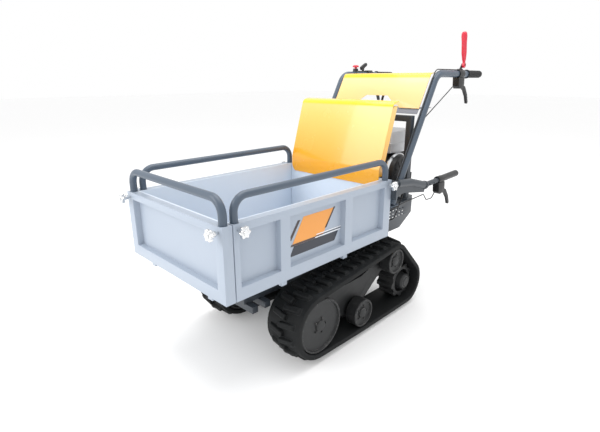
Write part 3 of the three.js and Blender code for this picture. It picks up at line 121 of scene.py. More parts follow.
class Builder:
    """Adds nodes to one material."""

    def __init__(self, name):
        self.material = bpy.data.materials.new(name)
        self.material.use_nodes = True
        self.tree = self.material.node_tree
        self.shader = self.tree.nodes["Principled BSDF"]

    def node(self, kind, settings=None, inputs=None):
        node = self.tree.nodes.new(kind)
        for key, value in (settings or {}).items():
            setattr(node, key, value)
        for key, value in (inputs or {}).items():
            self.feed(node.inputs[key], value)
        return node

    def feed(self, socket, value):
        if isinstance(value, Value):
            value = value.socket
        if isinstance(value, bpy.types.NodeSocket):
            self.tree.links.new(value, socket)
        elif isinstance(value, (tuple, list)) and len(value) == 3 and socket.type == "RGBA":
            socket.default_value = (*value, 1.0)
        else:
            socket.default_value = value

    def place(self):
        return self.node("ShaderNodeTexCoord").outputs["Object"]

    def noise(self, scale, detail=3.0, roughness=0.55):
        return Value(self, self.node("ShaderNodeTexNoise", None, {
            "Vector": self.place(), "Scale": scale, "Detail": detail,
            "Roughness": roughness}).outputs["Fac"])

    def band(self, value, low, high):
        """0 below low, 1 above high, a smooth step between."""
        return Value(self, self.node("ShaderNodeMapRange", {"interpolation_type": "SMOOTHSTEP"}, {
            "Value": value, "From Min": low, "From Max": high}).outputs["Result"])

    def mix(self, factor, first, second):
        node = self.node("ShaderNodeMix", {"data_type": "RGBA"})
        self.feed(node.inputs["Factor"], factor)
        self.feed(node.inputs[6], first)
        self.feed(node.inputs[7], second)
        return node.outputs[2]

    def axis(self, name):
        split = self.node("ShaderNodeSeparateXYZ", None, {0: self.place()})
        return Value(self, split.outputs[name])

    def edges(self, reach, low=0.02, high=0.10):
        """1 on worn edges: where a bevelled normal leaves the true one."""
        soft = self.node("ShaderNodeBevel", {"samples": 4}, {"Radius": reach})
        true = self.node("ShaderNodeNewGeometry")
        dot = self.node("ShaderNodeVectorMath", {"operation": "DOT_PRODUCT"}, {
            0: soft.outputs[0], 1: true.outputs["Normal"]})
        return self.band(1.0 - Value(self, dot.outputs["Value"]), low, high)

    def bump(self, height, distance, strength=1.0):
        node = self.node("ShaderNodeBump", None, {
            "Height": height, "Distance": distance, "Strength": strength})
        self.feed(self.shader.inputs["Normal"], node.outputs["Normal"])

    def surface(self, color=None, roughness=None, metallic=0.0, coat=0.0, coat_roughness=0.1):
        self.feed(self.shader.inputs["Base Color"], color)
        self.feed(self.shader.inputs["Roughness"], roughness)
        self.feed(self.shader.inputs["Metallic"], metallic)
        self.feed(self.shader.inputs["Coat Weight"], coat)
        self.shader.inputs["Coat Roughness"].default_value = coat_roughness
        return self.material


print("shader builder ready")

# %% [markdown]
# Powder coat is a thick paint baked on steel. It has a fine orange-peel texture, a satin gloss that
# varies a little, and a film of dust that gathers low down. One function makes every painted finish,
# so that the panels, frame and rails clearly come from one paint shop. The walls keep light out of the
# bed, so a panel's inner faces get a paler paint to make up for it.


# %% Powder coat
INNER_HALF = 0.291  # |x| between a side panel's pressed fields and its inner face
INNER_FRONT = -0.838  # y between the front panel's pressed field and its inner face
INNER_SOFT = 0.001


def powder_coat(name, color, dust, roughness, peel=0.00006, coat=0.15, inside=None):
    b = Builder(name)
    cloud = b.noise(5.0, 4.0)
    low = 1.0 - b.band(b.axis("Z"), 0.10, 0.55)
    film = b.band(cloud * 0.7 + low * 0.45, 0.45, 0.95)
    shade = b.mix(cloud * 0.25, color, tuple(c * 0.90 for c in color))
    paint = b.mix(film * 0.30, shade, dust)
    if inside:
        x, y = b.axis("X"), b.axis("Y")
        beyond = b.band(x * x, INNER_HALF ** 2 - INNER_SOFT, INNER_HALF ** 2 + INNER_SOFT)
        behind = b.band(y, INNER_FRONT, INNER_FRONT + 0.003)
        paint = b.mix((1.0 - beyond) * behind, paint, inside)
    b.bump(b.noise(900.0, 2.0), peel, 0.6)
    return b.surface(paint, roughness + (cloud - 0.5) * 0.12 + film * 0.10, 0.0, coat, 0.25)


finishes = {
    "panel_paint": powder_coat("panel_paint", (0.375, 0.430, 0.510), (0.38, 0.42, 0.47), 0.40,
                               inside=(0.600, 0.670, 0.760)),
    "frame_paint": powder_coat("frame_paint", (0.033, 0.042, 0.054), (0.085, 0.088, 0.092), 0.42),
    "rail_paint": powder_coat("rail_paint", (0.066, 0.092, 0.128), (0.13, 0.14, 0.16), 0.36),
    "tray_paint": powder_coat("tray_paint", (0.24, 0.25, 0.29), (0.30, 0.30, 0.30), 0.45),
    "tank_paint": powder_coat("tank_paint", (0.52, 0.53, 0.55), (0.5, 0.5, 0.49), 0.30, coat=0.4),
}
print("powder coats:", sorted(finishes))

# %% [markdown]
# The headboard and the console are warm yellow sheets that look paler at the top and deepen to orange
# towards the bottom. Part of that change is put in the paint: a pale band at the top is a painted highlight, and
# the colour deepens towards the bottom, whatever its true cause is.


# %% Yellow paint
def yellow_paint(name, low, high, bottom, top, painted_highlight_color):
    b = Builder(name)
    along = b.axis("Z") + b.axis("X") * 0.12
    height = b.band(along + (b.noise(3.0, 2.0) - 0.5) * 0.05, low, high)
    paint = b.mix(height, bottom, top)
    # painted highlight: the top of the sheet is paled towards a lighter tint, more so towards +X
    painted_highlight = b.band(along, high - 0.10, high + 0.04)
    paint = b.mix(painted_highlight * 0.75, paint, painted_highlight_color)
    fold = b.band(b.axis("Z"), high - 0.030, high - 0.018)
    paint = b.mix(fold, paint, (0.90, 0.56, 0.010))
    b.bump(b.noise(700.0, 2.0), 0.00004, 0.5)
    return b.surface(paint, 0.26 + (b.noise(12.0) - 0.5) * 0.10, 0.0, 0.5, 0.08)


board_low, board_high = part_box("headboard")
console_low, console_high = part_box("console_panel")
# the last colour given for each sheet is the tint of its painted highlight
headboard_yellow = yellow_paint(
    "headboard_yellow", board_low.z, board_high.z, (0.86, 0.37, 0.006), (0.88, 0.56, 0.14),
    (0.84, 0.60, 0.24))
console_yellow = yellow_paint(
    "console_yellow", console_low.z, console_high.z, (0.90, 0.59, 0.22), (0.90, 0.62, 0.30),
    (0.90, 0.64, 0.33))
finishes["yellow_paint"] = headboard_yellow
print("yellow sheet from", round(board_low.z, 3), "to", round(board_high.z, 3), "m")

# %% [markdown]
# Moulded plastic is a plain colour with the grain of its mould. Track rubber is blacker and rougher, and
# it holds grey dust on the faces that meet the ground. The two share nothing but their darkness, so each
# has its own function.


# %% Plastics and rubber
def moulded(name, color, roughness, grain, scale=1400.0, coat=0.0):
    b = Builder(name)
    cloud = b.noise(30.0)
    b.bump(b.noise(scale, 2.0), grain, 0.5)
    shade = b.mix(cloud * 0.3, color, tuple(min(1.0, c * 1.35 + 0.004) for c in color))
    return b.surface(shade, roughness + (cloud - 0.5) * 0.15, 0.0, coat, 0.1)


def track_rubber():
    b = Builder("track_rubber")
    cloud = b.noise(14.0, 6.0, 0.65)
    speck = b.noise(260.0, 3.0)
    wear = b.edges(0.004, 0.015, 0.12)
    dusty = b.band(cloud + (speck - 0.5) * 0.4, 0.50, 0.80)
    color = b.mix(dusty * 0.45, (0.0075, 0.0085, 0.0090), (0.028, 0.031, 0.032))
    color = b.mix(wear * 0.40, color, (0.050, 0.053, 0.055))
    b.bump(speck * 0.6 + cloud * 0.4, 0.0005, 0.5)
    b.shader.inputs["Specular IOR Level"].default_value = 0.22
    return b.surface(color, 0.66 + (cloud - 0.5) * 0.25, 0.0)


finishes["black_plastic"] = moulded("black_plastic", (0.012, 0.012, 0.013), 0.45, 0.00008)
finishes["grip_rubber"] = moulded("grip_rubber", (0.010, 0.010, 0.011), 0.62, 0.00012)
finishes["cable_sheath"] = moulded("cable_sheath", (0.010, 0.010, 0.011), 0.38, 0.00004)
finishes["red_plastic"] = moulded("red_plastic", (0.62, 0.018, 0.045), 0.26, 0.00004, coat=0.35)
finishes["track_rubber"] = track_rubber()
print("plastics and rubber ready")

# %% [markdown]
# Bright zinc, die-cast alloy and painted iron are the three metals. Zinc is smooth with faint clouds,
# a casting has a pebbled skin, and iron paint chips on its edges so that bare metal shows.


# %% Metals
def bare_metal(name, color, roughness, pebble, scale):
    b = Builder(name)
    cloud = b.noise(22.0, 4.0)
    shade = b.mix(cloud * 0.5, color, tuple(c * 0.78 for c in color))
    b.bump(b.noise(scale, 3.0), pebble, 0.5)
    return b.surface(shade, roughness + (cloud - 0.5) * 0.22, 1.0)


def painted_iron():
    b = Builder("cast_iron")
    cloud = b.noise(18.0, 5.0)
    chips = b.edges(0.002, 0.02, 0.12) * b.band(b.noise(85.0, 4.0), 0.50, 0.62)
    dusty = b.band(cloud, 0.45, 0.8)
    color = b.mix(dusty * 0.35, (0.012, 0.013, 0.014), (0.050, 0.050, 0.049))
    color = b.mix(chips, color, (0.30, 0.29, 0.28))
    b.bump(b.noise(420.0, 3.0), 0.00018, 0.5)
    return b.surface(color, 0.55 + (cloud - 0.5) * 0.2, chips * 0.8)


finishes["zinc_plate"] = bare_metal("zinc_plate", (0.78, 0.79, 0.80), 0.24, 0.00002, 500.0)
finishes["engine_alloy"] = bare_metal("engine_alloy", (0.48, 0.49, 0.50), 0.45, 0.00015, 600.0)
finishes["cast_iron"] = painted_iron()
print("finishes:", len(finishes))

# %% [markdown]
# The frame's solids have the right shapes, but their edges are mathematically sharp and no real edge is.
# A copy of each is cleaned, its flat faces are joined up and its sharp edges get a small round, about
# the radius that a press or a mould leaves. The round catches the light, which is what makes sheet
# metal read as sheet metal.


# %% Refine a solid's edges
SHARP = math.radians(28)
FLAT = math.radians(0.6)


def add_piece(name, mesh_source, node_names, finish, body=None):
    """Makes the object of a finished bmesh, rides it on its body and hides the nodes it replaces."""
    mesh = bpy.data.meshes.new(name)
    mesh_source.to_mesh(mesh)
    mesh_source.free()
    piece = bpy.data.objects.new(name, mesh)
    bpy.context.scene.collection.objects.link(piece)
    mesh.materials.append(finish)
    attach(piece, body or body_of_node[node_names[0]])
    if node_names:
        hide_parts(*node_names)
    return piece


def smooth_by_angle(mesh_source, angle=SHARP):
    for face in mesh_source.faces:
        face.smooth = True
    for edge in mesh_source.edges:
        if len(edge.link_faces) == 2:
            edge.smooth = edge.calc_face_angle(0.0) < angle


def copied(node):
    mesh_source = bmesh.new()
    mesh_source.from_mesh(nodes[node].data)
    bmesh.ops.remove_doubles(mesh_source, verts=mesh_source.verts, dist=0.00002)
    bmesh.ops.dissolve_limit(
        mesh_source, angle_limit=FLAT, verts=mesh_source.verts, edges=mesh_source.edges)
    return mesh_source


def round_edges(mesh_source, radius, segments=2, angle=SHARP):
    sharp = [e for e in mesh_source.edges if len(e.link_faces) == 2 and e.calc_face_angle(0.0) > angle]
    if sharp:
        bmesh.ops.bevel(
            mesh_source, geom=sharp, offset=radius, offset_type="OFFSET", affect="EDGES",
            segments=segments, profile=0.5, material=-1, clamp_overlap=True)


def refined(node, radius, finish=None, segments=2):
    mesh_source = copied(node)
    round_edges(mesh_source, radius, segments)
    smooth_by_angle(mesh_source, math.radians(40))
    return add_piece(node + "_skin", mesh_source, [node], finish or finishes[slot_of_node[node]])


EDGE_ROUND = {
    "front_panel": 0.0028, "left_side_panel": 0.0028, "right_side_panel": 0.0028,
    "bed_tray": 0.0015, "bed_frame": 0.0015, "headboard": 0.0006, "engine_frame": 0.0020,
    "drive_cover": 0.0008, "chassis_frame": 0.0020, "gearbox": 0.0030, "engine_block": 0.0015,
    "fuel_tank": 0.0020, "air_filter": 0.0040, "muffler": 0.0030, "console_panel": 0.0006,
    "console_tray": 0.0006, "left_track_frame": 0.0020, "right_track_frame": 0.0020,
    "left_lever_bracket": 0.0016, "right_lever_bracket": 0.0016, "left_steering_lever": 0.0035,
    "right_steering_lever": 0.0035, "dump_lever": 0.0035, "dump_grip": 0.0012, "bed_latch": 0.0008,
    "throttle_lever": 0.0016, "recoil_handle": 0.0020, "left_sprocket": 0.0012,
    "right_sprocket": 0.0012,
}
for node, radius in EDGE_ROUND.items():
    finish = console_yellow if node == "console_panel" else None
    refined(node, radius, finish, 3)
print("refined solids:", len(EDGE_ROUND))

# %% [markdown]
# Rails, handlebars and cables are all one idea: a round section carried along a line. On the real
# machine the tube is bent over a former, and Blender can bend it the same way. A ring is extruded along
# each straight run and spun about the centre of each bend, so the wall stays even and truly round.


# %% Bend a tube
ARC_STEP = math.radians(9)


def loop_of(created):
    verts = [g for g in created if isinstance(g, bmesh.types.BMVert)]
    known = set(verts)
    return verts, [g for g in created if isinstance(g, bmesh.types.BMEdge)
                   and g.verts[0] in known and g.verts[1] in known]


def carried(mesh_source, loop, offset):
    """Extrudes a loop of edges by an offset and returns the new loop."""
    made = bmesh.ops.extrude_edge_only(mesh_source, edges=loop)["geom"]
    verts, edges = loop_of(made)
    bmesh.ops.translate(mesh_source, verts=verts, vec=offset)
    return edges


def swung(mesh_source, loop, centre, axis, angle):
    """Spins a loop of edges about a centre and returns the last loop."""
    verts = list({v for e in loop for v in e.verts})
    steps = max(2, round(angle / ARC_STEP))
    made = bmesh.ops.spin(
        mesh_source, geom=loop + verts, cent=centre, axis=axis, angle=angle, steps=steps,
        dvec=(0, 0, 0), use_merge=False, use_duplicate=False)["geom_last"]
    return loop_of(made)[1]


def add_tube(mesh_source, points, radius, bend, sides=24):
    points = [Vector(p) for p in points]
    heading = (points[1] - points[0]).normalized()
    place = Matrix.Translation(points[0]) @ heading.to_track_quat("Z", "Y").to_matrix().to_4x4()
    ring = bmesh.ops.create_circle(
        mesh_source, cap_ends=False, radius=radius, segments=sides, matrix=place)["verts"]
    first = list({e for v in ring for e in v.link_edges})
    loop, here = first, points[0]
    for before, corner, after in zip(points, points[1:], points[2:]):
        ahead = (after - corner).normalized()
        heading = (corner - before).normalized()
        angle = heading.angle(ahead)
        if angle < 0.01:
            continue
        room = 0.48 * min((corner - before).length, (after - corner).length)
        reach = min(bend * math.tan(angle / 2), room)
        axis = heading.cross(ahead).normalized()
        start = corner - heading * reach
        loop = carried(mesh_source, loop, start - here)
        centre = start + axis.cross(heading) * (reach / math.tan(angle / 2))
        loop = swung(mesh_source, loop, centre, axis, angle)
        here = corner + ahead * reach
    last = carried(mesh_source, loop, points[-1] - here)
    bmesh.ops.edgeloop_fill(mesh_source, edges=first)
    bmesh.ops.edgeloop_fill(mesh_source, edges=last)


def closed_up(mesh_source):
    bmesh.ops.remove_doubles(mesh_source, verts=mesh_source.verts, dist=0.00001)
    bmesh.ops.recalc_face_normals(mesh_source, faces=mesh_source.faces)


def finished(name, mesh_source, node_names, finish=None, slot=None, body=None):
    closed_up(mesh_source)
    smooth_by_angle(mesh_source)
    return add_piece(
        name, mesh_source, node_names, finish or finishes[slot or slot_of_node[node_names[0]]],
        body)


def swept(name, node, points, radius, bend, sides=24):
    mesh_source = bmesh.new()
    add_tube(mesh_source, points, radius, bend, sides)
    return finished(name, mesh_source, [node])


# %% Guard rails
RAIL_BEND = 0.052


def rail_points(node):
    """The four corners of a rail's centre line, from its box."""
    low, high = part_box(node)
    radius = min(high.x - low.x, high.y - low.y) / 2
    top = high.z - radius
    if high.x - low.x > high.y - low.y:
        ends = [(low.x + radius, (low.y + high.y) / 2), (high.x - radius, (low.y + high.y) / 2)]
    else:
        ends = [((low.x + high.x) / 2, low.y + radius), ((low.x + high.x) / 2, high.y - radius)]
    (x0, y0), (x1, y1) = ends
    return [(x0, y0, low.z), (x0, y0, top), (x1, y1, top), (x1, y1, low.z)], radius


for node in ("front_rail", "left_side_rail", "right_side_rail"):
    points, radius = rail_points(node)
    swept(node + "_tube", node, points, radius, RAIL_BEND, 32)
    print(node, "tube radius", round(radius * 1000, 1), "mm")

# %% [markdown]
# Each handlebar is one tube bent once, with a foot bolted to the engine deck. A cheek plate stiffens the
# foot. Flat plates are drawn as an outline and given their thickness.


# %% Plates and blocks
def add_plate(mesh_source, outline, x0, x1):
    """An outline of (y, z) points, given thickness along X."""
    verts = [mesh_source.verts.new((x0, y, z)) for y, z in outline]
    face = mesh_source.faces.new(verts)
    made = bmesh.ops.extrude_face_region(mesh_source, geom=[face])["geom"]
    moved = [g for g in made if isinstance(g, bmesh.types.BMVert)]
    bmesh.ops.translate(mesh_source, verts=moved, vec=(x1 - x0, 0, 0))


def add_block(mesh_source, low, high, radius=0.0):
    low, high = Vector(low), Vector(high)
    scale = Matrix.Diagonal((*(high - low), 1.0))
    verts = bmesh.ops.create_cube(
        mesh_source, size=1.0, matrix=Matrix.Translation((low + high) / 2) @ scale)["verts"]
    if radius:
        edges = list({e for v in verts for e in v.link_edges})
        bmesh.ops.bevel(
            mesh_source, geom=edges, offset=radius, offset_type="OFFSET", affect="EDGES",
            segments=2, profile=0.5, material=-1, clamp_overlap=True)


def add_rod(mesh_source, place, axis, length, radius, sides=20):
    turned_to = Vector(axis).to_track_quat("Z", "Y").to_matrix().to_4x4()
    bmesh.ops.create_cone(
        mesh_source, cap_ends=True, cap_tris=False, segments=sides, radius1=radius,
        radius2=radius, depth=length, matrix=Matrix.Translation(place) @ turned_to)


def mirrored_points(points, side):
    return [(x * side, y, z) for x, y, z in points]


# %% Handlebars
BAR_X = 0.286
BAR_RADIUS = 0.017
BAR_BEND = 0.075
BAR_CORNER = (0.434, 1.143)
BAR_FOOT = (0.1103, 0.559)

for name, side in (("left", 1), ("right", -1)):
    node = name + "_handlebar"
    low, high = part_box(node)
    mesh_source = bmesh.new()
    add_tube(mesh_source, mirrored_points([
        (BAR_X, *BAR_FOOT), (BAR_X, *BAR_CORNER), (BAR_X, high.y, BAR_CORNER[1])], side),
        BAR_RADIUS, BAR_BEND, 32)
    foot_y, foot_z = BAR_FOOT[0] - 0.0016, low.z
    inner, outer = sorted(((BAR_X - 0.026) * side, (BAR_X + 0.017) * side))
    add_block(mesh_source, (inner, foot_y - 0.030, foot_z), (outer, foot_y + 0.044, foot_z + 0.007),
              0.0015)
    add_plate(mesh_source, [
        (foot_y - 0.024, foot_z + 0.003), (foot_y + 0.040, foot_z + 0.003),
        (foot_y + 0.046, foot_z + 0.062), (foot_y + 0.018, foot_z + 0.066)],
        BAR_X * side - 0.003, BAR_X * side + 0.003)
    for bolt_y in (-0.020, 0.034):
        add_rod(mesh_source, ((BAR_X - 0.016) * side, foot_y + bolt_y, foot_z + 0.010),
                (0, 0, 1), 0.008, 0.006, 6)
    finished(node + "_tube", mesh_source, [node])
print("handlebars bent")

# %% [markdown]
# The tipping handle is a thick tube that steps down to a thin one, with a plate welded below the bend.
# The cables run from the levers down the bars. Their routes are the frame's own.

# %% Tipping handle
TIP_X = 0.336
TIP_START = (0.067, 0.674)
TIP_KNEE = (0.185, 0.661)
TIP_JOIN = (0.319, 0.625)
TIP_END = (0.641, 0.635)

mesh_source = bmesh.new()
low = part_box("dump_handle_tube")[0]
add_tube(mesh_source, [(TIP_X, *TIP_START), (TIP_X, *TIP_KNEE), (TIP_X, *TIP_JOIN)], 0.018, 0.090, 32)
add_tube(mesh_source, [(TIP_X, TIP_JOIN[0] - 0.008, TIP_JOIN[1]), (TIP_X, *TIP_END)], 0.013, 0.05, 28)
collar_way = Vector((0, TIP_JOIN[0] - TIP_KNEE[0], TIP_JOIN[1] - TIP_KNEE[1])).normalized()
add_rod(mesh_source, (TIP_X, TIP_JOIN[0] - 0.004, TIP_JOIN[1] + 0.001), collar_way, 0.014, 0.0205, 32)
add_block(mesh_source, (0.2125, low.y, 0.604), (TIP_X + 0.014, low.y + 0.007, 0.690), 0.0015)
add_block(mesh_source, (TIP_X - 0.013, low.y + 0.001, TIP_START[1] - 0.013),
          (TIP_X + 0.013, TIP_START[0] + 0.020, TIP_START[1] + 0.013), 0.003)
add_plate(mesh_source, [
    (low.y + 0.002, 0.614), (TIP_START[0] + 0.060, TIP_KNEE[1] - 0.040),
    (TIP_JOIN[0] - 0.006, TIP_JOIN[1] - 0.034), (TIP_JOIN[0], TIP_JOIN[1]),
    (TIP_KNEE[0], TIP_KNEE[1]), (low.y + 0.002, TIP_START[1])], TIP_X - 0.003, TIP_X + 0.003)
for past in (0.030, 0.070):
    add_rod(mesh_source, (TIP_X, TIP_JOIN[0] + past, TIP_JOIN[1] + past * 0.0307), (1, 0, 0),
            0.034, 0.004, 12)
finished("tipping_handle", mesh_source, ["dump_handle_tube"])
print("tipping handle made")

# %% Control cables
STEERING_ROUTE = [
    (0.286, 0.6365, 1.085), (0.286, 0.6065, 1.079), (0.286, 0.352, 0.9414), (0.292, 0.1887, 0.6593),
    (0.314, 0.1673, 0.619), (0.314, 0.097, 0.499), (0.150, 0.093, 0.409), (0.044, 0.101, 0.381),
    (0.044, 0.117, 0.363)]
CLUTCH_ROUTE = [
    (0.286, 0.642, 1.163), (0.286, 0.420, 1.163), (0.286, 0.1538, 0.6787), (0.272, 0.071, 0.589),
    (0.180, 0.071, 0.499), (0.130, 0.111, 0.469)]
TIP_ROUTE = [
    (0.336, 0.428, 0.5714), (0.336, 0.397, 0.5434), (0.336, 0.345, 0.5454), (0.336, 0.313, 0.5794),
    (0.332, 0.121, 0.569), (0.319, 0.069, 0.549), (0.180, 0.065, 0.449), (0.040, 0.061, 0.401),
    (0.012, 0.045, 0.395)]
CABLE_RADIUS = 0.0025

swept("left_steering_wire", "left_steering_cable", STEERING_ROUTE, CABLE_RADIUS, 0.018, 12)
swept("right_steering_wire", "right_steering_cable", mirrored_points(STEERING_ROUTE, -1),
      CABLE_RADIUS, 0.018, 12)
swept("clutch_wire", "clutch_cable", CLUTCH_ROUTE, CABLE_RADIUS, 0.040, 12)
swept("tip_wire", "dump_cable", TIP_ROUTE, CABLE_RADIUS, 0.016, 12)
print("cables:", 4)

# %% [markdown]
# A rubber track is a thick belt with bars moulded across it. The belt is a rounded section carried round
# the wheels. The bars stand in two staggered rows that lean towards each other, so that earth is pushed
# out sideways. They step down at the shoulders and stop short of the belt's edges.


# %% Track belts
BELT_THICK = 0.022
BAR_HEIGHT = 0.018
BAR_COUNT = 36
BAR_MARGIN = 0.020  # from a bar's end to the belt's edge
BAR_OVERLAP = 0.012  # how far a bar passes the belt's middle
BAR_LEAN = 0.010
BAR_WIDTH = 0.030
BAR_TOP = 0.66  # width of a bar's top as a share of its base
WHEEL_GAP = 0.0025
BELT_WHEELS = (
    ("idler_wheel", 0.1175), ("lower_roller", 0.065), ("drive_wheel", 0.0875), ("upper_roller", 0.0625))


def belt_wheels(side):
    wheels = []
    for name, radius in BELT_WHEELS:
        _, y, z = joint_named[f"{side}_{name}_spin"]["pos_m"]
        wheels.append((y, z, radius + WHEEL_GAP))
    return wheels


def belt_runs(wheels):
    """For each wheel: its centre, radius, first angle and sweep, then the straight run to the next."""
    normals = []
    for (y, z, r), (ny, nz, nr) in zip(wheels, wheels[1:] + wheels[:1]):
        gap = math.hypot(ny - y, nz - z)
        normals.append(math.atan2(nz - z, ny - y) - math.acos((r - nr) / gap))
    runs = []
    for i, (y, z, r) in enumerate(wheels):
        first = normals[i - 1]
        ny, nz, nr = wheels[(i + 1) % len(wheels)]
        across = Vector((0, math.cos(normals[i]), math.sin(normals[i])))
        straight = Vector((0, ny - y, nz - z)) + across * (nr - r)
        runs.append((Vector((0, y, z)), r, first, (normals[i] - first) % (2 * math.pi), straight))
    return runs


def belt_frame(runs, length):
    """The place on the belt's inner line at a length, with its heading and its outward normal."""
    total = sum(r * sweep + run.length for _, r, _, sweep, run in runs)
    left = length % total
    for centre, r, first, sweep, run in runs:
        if left <= r * sweep:
            angle = first + left / r
            out = Vector((0, math.cos(angle), math.sin(angle)))
            return centre + out * r, Vector((1, 0, 0)).cross(out), out
        left -= r * sweep
        if left <= run.length:
            out = Vector((0, math.cos(first + sweep), math.sin(first + sweep)))
            return centre + out * r + run.normalized() * left, run.normalized(), out
        left -= run.length
    return None


def add_belt(mesh_source, runs, x0, x1):
    centre, r, first, _, _ = runs[0]
    verts = bmesh.ops.create_grid(mesh_source, x_segments=1, y_segments=1, size=0.5)["verts"]
    bmesh.ops.delete(mesh_source, geom=list(mesh_source.faces), context="FACES_ONLY")
    out = Vector((0, math.cos(first), math.sin(first)))
    across = Matrix(((x1 - x0, 0, 0, 0), (0, BELT_THICK, 0, 0), (0, 0, 1, 0), (0, 0, 0, 1)))
    place = Matrix.Translation(
        centre + out * (r + BELT_THICK / 2) + Vector(((x0 + x1) / 2, 0, 0)))
    turned_to = Matrix.Rotation(first, 4, "X")
    bmesh.ops.transform(mesh_source, matrix=place @ turned_to @ across, verts=verts)
    bmesh.ops.bevel(
        mesh_source, geom=list(mesh_source.verts), offset=0.005, offset_type="OFFSET",
        affect="VERTICES", segments=3, profile=0.5, material=-1)
    loop = list(mesh_source.edges)
    for centre, r, _, sweep, run in runs:
        loop = swung(mesh_source, loop, centre, (1, 0, 0), sweep)
        loop = carried(mesh_source, loop, run)


def add_bar(mesh_source, runs, length, x_in, x_out, lean):
    """One moulded bar from x_in at the middle to x_out at the shoulder."""
    place, heading, out = belt_frame(runs, length)
    to_belt = Matrix.Translation(place) @ Matrix((
        (1, heading.x, out.x, 0), (0, heading.y, out.y, 0), (0, heading.z, out.z, 0),
        (0, 0, 0, 1)))
    base, top = BELT_THICK - 0.006, BELT_THICK + BAR_HEIGHT
    span = x_out - x_in
    size = Matrix.Diagonal((span, BAR_WIDTH, top - base, 1.0))
    verts = bmesh.ops.create_cube(
        mesh_source, size=1.0,
        matrix=Matrix.Translation(((x_in + x_out) / 2, 0, (base + top) / 2)) @ size)["verts"]
    for v in verts:
        outer = abs(v.co.x - x_out) < 0.001
        if v.co.z > top - 0.001:
            v.co.y *= BAR_TOP
            if outer:
                v.co.x -= 0.010 * math.copysign(1, span)
                v.co.z -= 0.006
        v.co.y += lean * (0 if outer else 1)
    bmesh.ops.transform(mesh_source, matrix=to_belt, verts=verts)
    edges = list({e for v in verts for e in v.link_edges})
    bmesh.ops.bevel(
        mesh_source, geom=edges, offset=0.0028, offset_type="OFFSET", affect="EDGES", segments=1,
        profile=0.5, material=-1, clamp_overlap=True)


for side in ("left", "right"):
    node = side + "_track_belt"
    low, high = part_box(node)
    runs = belt_runs(belt_wheels(side))
    total = sum(r * sweep + run.length for _, r, _, sweep, run in runs)
    pitch = total / BAR_COUNT
    mesh_source = bmesh.new()
    add_belt(mesh_source, runs, low.x, high.x)
    closed_up(mesh_source)
    middle = (low.x + high.x) / 2
    for i in range(BAR_COUNT):
        place = (i + 0.45) * pitch
        add_bar(mesh_source, runs, place, middle - BAR_OVERLAP, high.x - BAR_MARGIN, BAR_LEAN)
        add_bar(
            mesh_source, runs, place + pitch / 2, middle + BAR_OVERLAP, low.x + BAR_MARGIN, BAR_LEAN)
    bmesh.ops.recalc_face_normals(mesh_source, faces=mesh_source.faces)
    smooth_by_angle(mesh_source)
    add_piece(node + "_rubber", mesh_source, [node], finishes["track_rubber"])
    print(node, "length", round(total, 3), "m, bars", 2 * BAR_COUNT)

# %% [markdown]
# Wheels, knobs, caps and buttons were turned or moulded round, so each is a profile spun about its axis.
# A spun shape has an even surface with no facets at any distance.


# %% Turn a profile
def add_turned(mesh_source, profile, place, axis, steps=48):
    """Spins (radius, distance along axis) points about an axis through a place."""
    turned_to = Vector(axis).to_track_quat("Z", "Y").to_matrix().to_4x4()
    matrix = Matrix.Translation(place) @ turned_to
    verts = [mesh_source.verts.new((r, 0, d)) for r, d in profile]
    edges = [mesh_source.edges.new(pair) for pair in zip(verts, verts[1:])]
    made = bmesh.ops.spin(
        mesh_source, geom=verts + edges, cent=(0, 0, 0), axis=(0, 0, 1), angle=2 * math.pi,
        steps=steps, dvec=(0, 0, 0), use_merge=True, use_duplicate=False)
    every = set(verts) | {g for g in made["geom_last"] if isinstance(g, bmesh.types.BMVert)}
    grown = True
    while grown:
        more = {o for v in every for e in v.link_edges for o in e.verts} - every
        every |= more
        grown = bool(more)
    bmesh.ops.transform(mesh_source, matrix=matrix, verts=list(every))


# %% Idlers and rollers
WHEEL_BOLTS = 5
WHEEL_BOLT_CIRCLE = 0.033
HUB_BOLTS = 6
HUB_BOLT_CIRCLE = 0.040


def wheel_profile(radius):
    half = [(0.010, 0.028), (radius - 0.003, 0.028), (radius, 0.031), (radius, 0.081),
            (radius - 0.003, 0.084), (radius - 0.009, 0.084), (radius - 0.012, 0.076),
            (0.026, 0.073), (0.024, 0.079), (0.017, 0.082), (0.0, 0.082)]
    other = [(r, -d) for r, d in reversed(half)]
    return other + half


for side in ("left", "right"):
    for joint, node_end, radius in (
            ("idler_wheel", "idler", 0.1175), ("lower_roller", "roller", 0.065),
            ("upper_roller", "carrier", 0.0625)):
        place = Vector(joint_named[f"{side}_{joint}_spin"]["pos_m"])
        mesh_source = bmesh.new()
        add_turned(mesh_source, wheel_profile(radius), place, (1, 0, 0))
        for end in (-1, 1):
            for k in range(WHEEL_BOLTS):
                turn = math.radians(360 / WHEEL_BOLTS * k)
                bolt = Vector((
                    end * 0.0745, WHEEL_BOLT_CIRCLE * math.cos(turn), WHEEL_BOLT_CIRCLE * math.sin(turn)))
                add_rod(mesh_source, place + bolt, (1, 0, 0), 0.009, 0.0042, 6)
        finished(f"{side}_{node_end}_wheel", mesh_source, [f"{side}_{node_end}"])
    place = Vector(joint_named[side + "_drive_wheel_spin"]["pos_m"])
    out = 1 if side == "left" else -1
    mesh_source = bmesh.new()
    add_turned(mesh_source, [(0.0, 0.074), (0.020, 0.074), (0.024, 0.070), (0.026, 0.0665), (0.0, 0.0665)],
               place, (out, 0, 0), 36)
    for k in range(HUB_BOLTS):
        turn = math.radians(360 / HUB_BOLTS * k)
        bolt = Vector((
            out * 0.0085, HUB_BOLT_CIRCLE * math.cos(turn), HUB_BOLT_CIRCLE * math.sin(turn)))
        add_rod(mesh_source, place + bolt, (1, 0, 0), 0.012, 0.005, 6)
    finished(side + "_hub_cap", mesh_source, [], finishes["cast_iron"], "cast_iron",
             side + "_drive_wheel")
print("wheels turned")

# %% Clamp knobs
LOBES = 6
KNOB_RADIUS = 0.021
KNOB_LOBE = 0.005


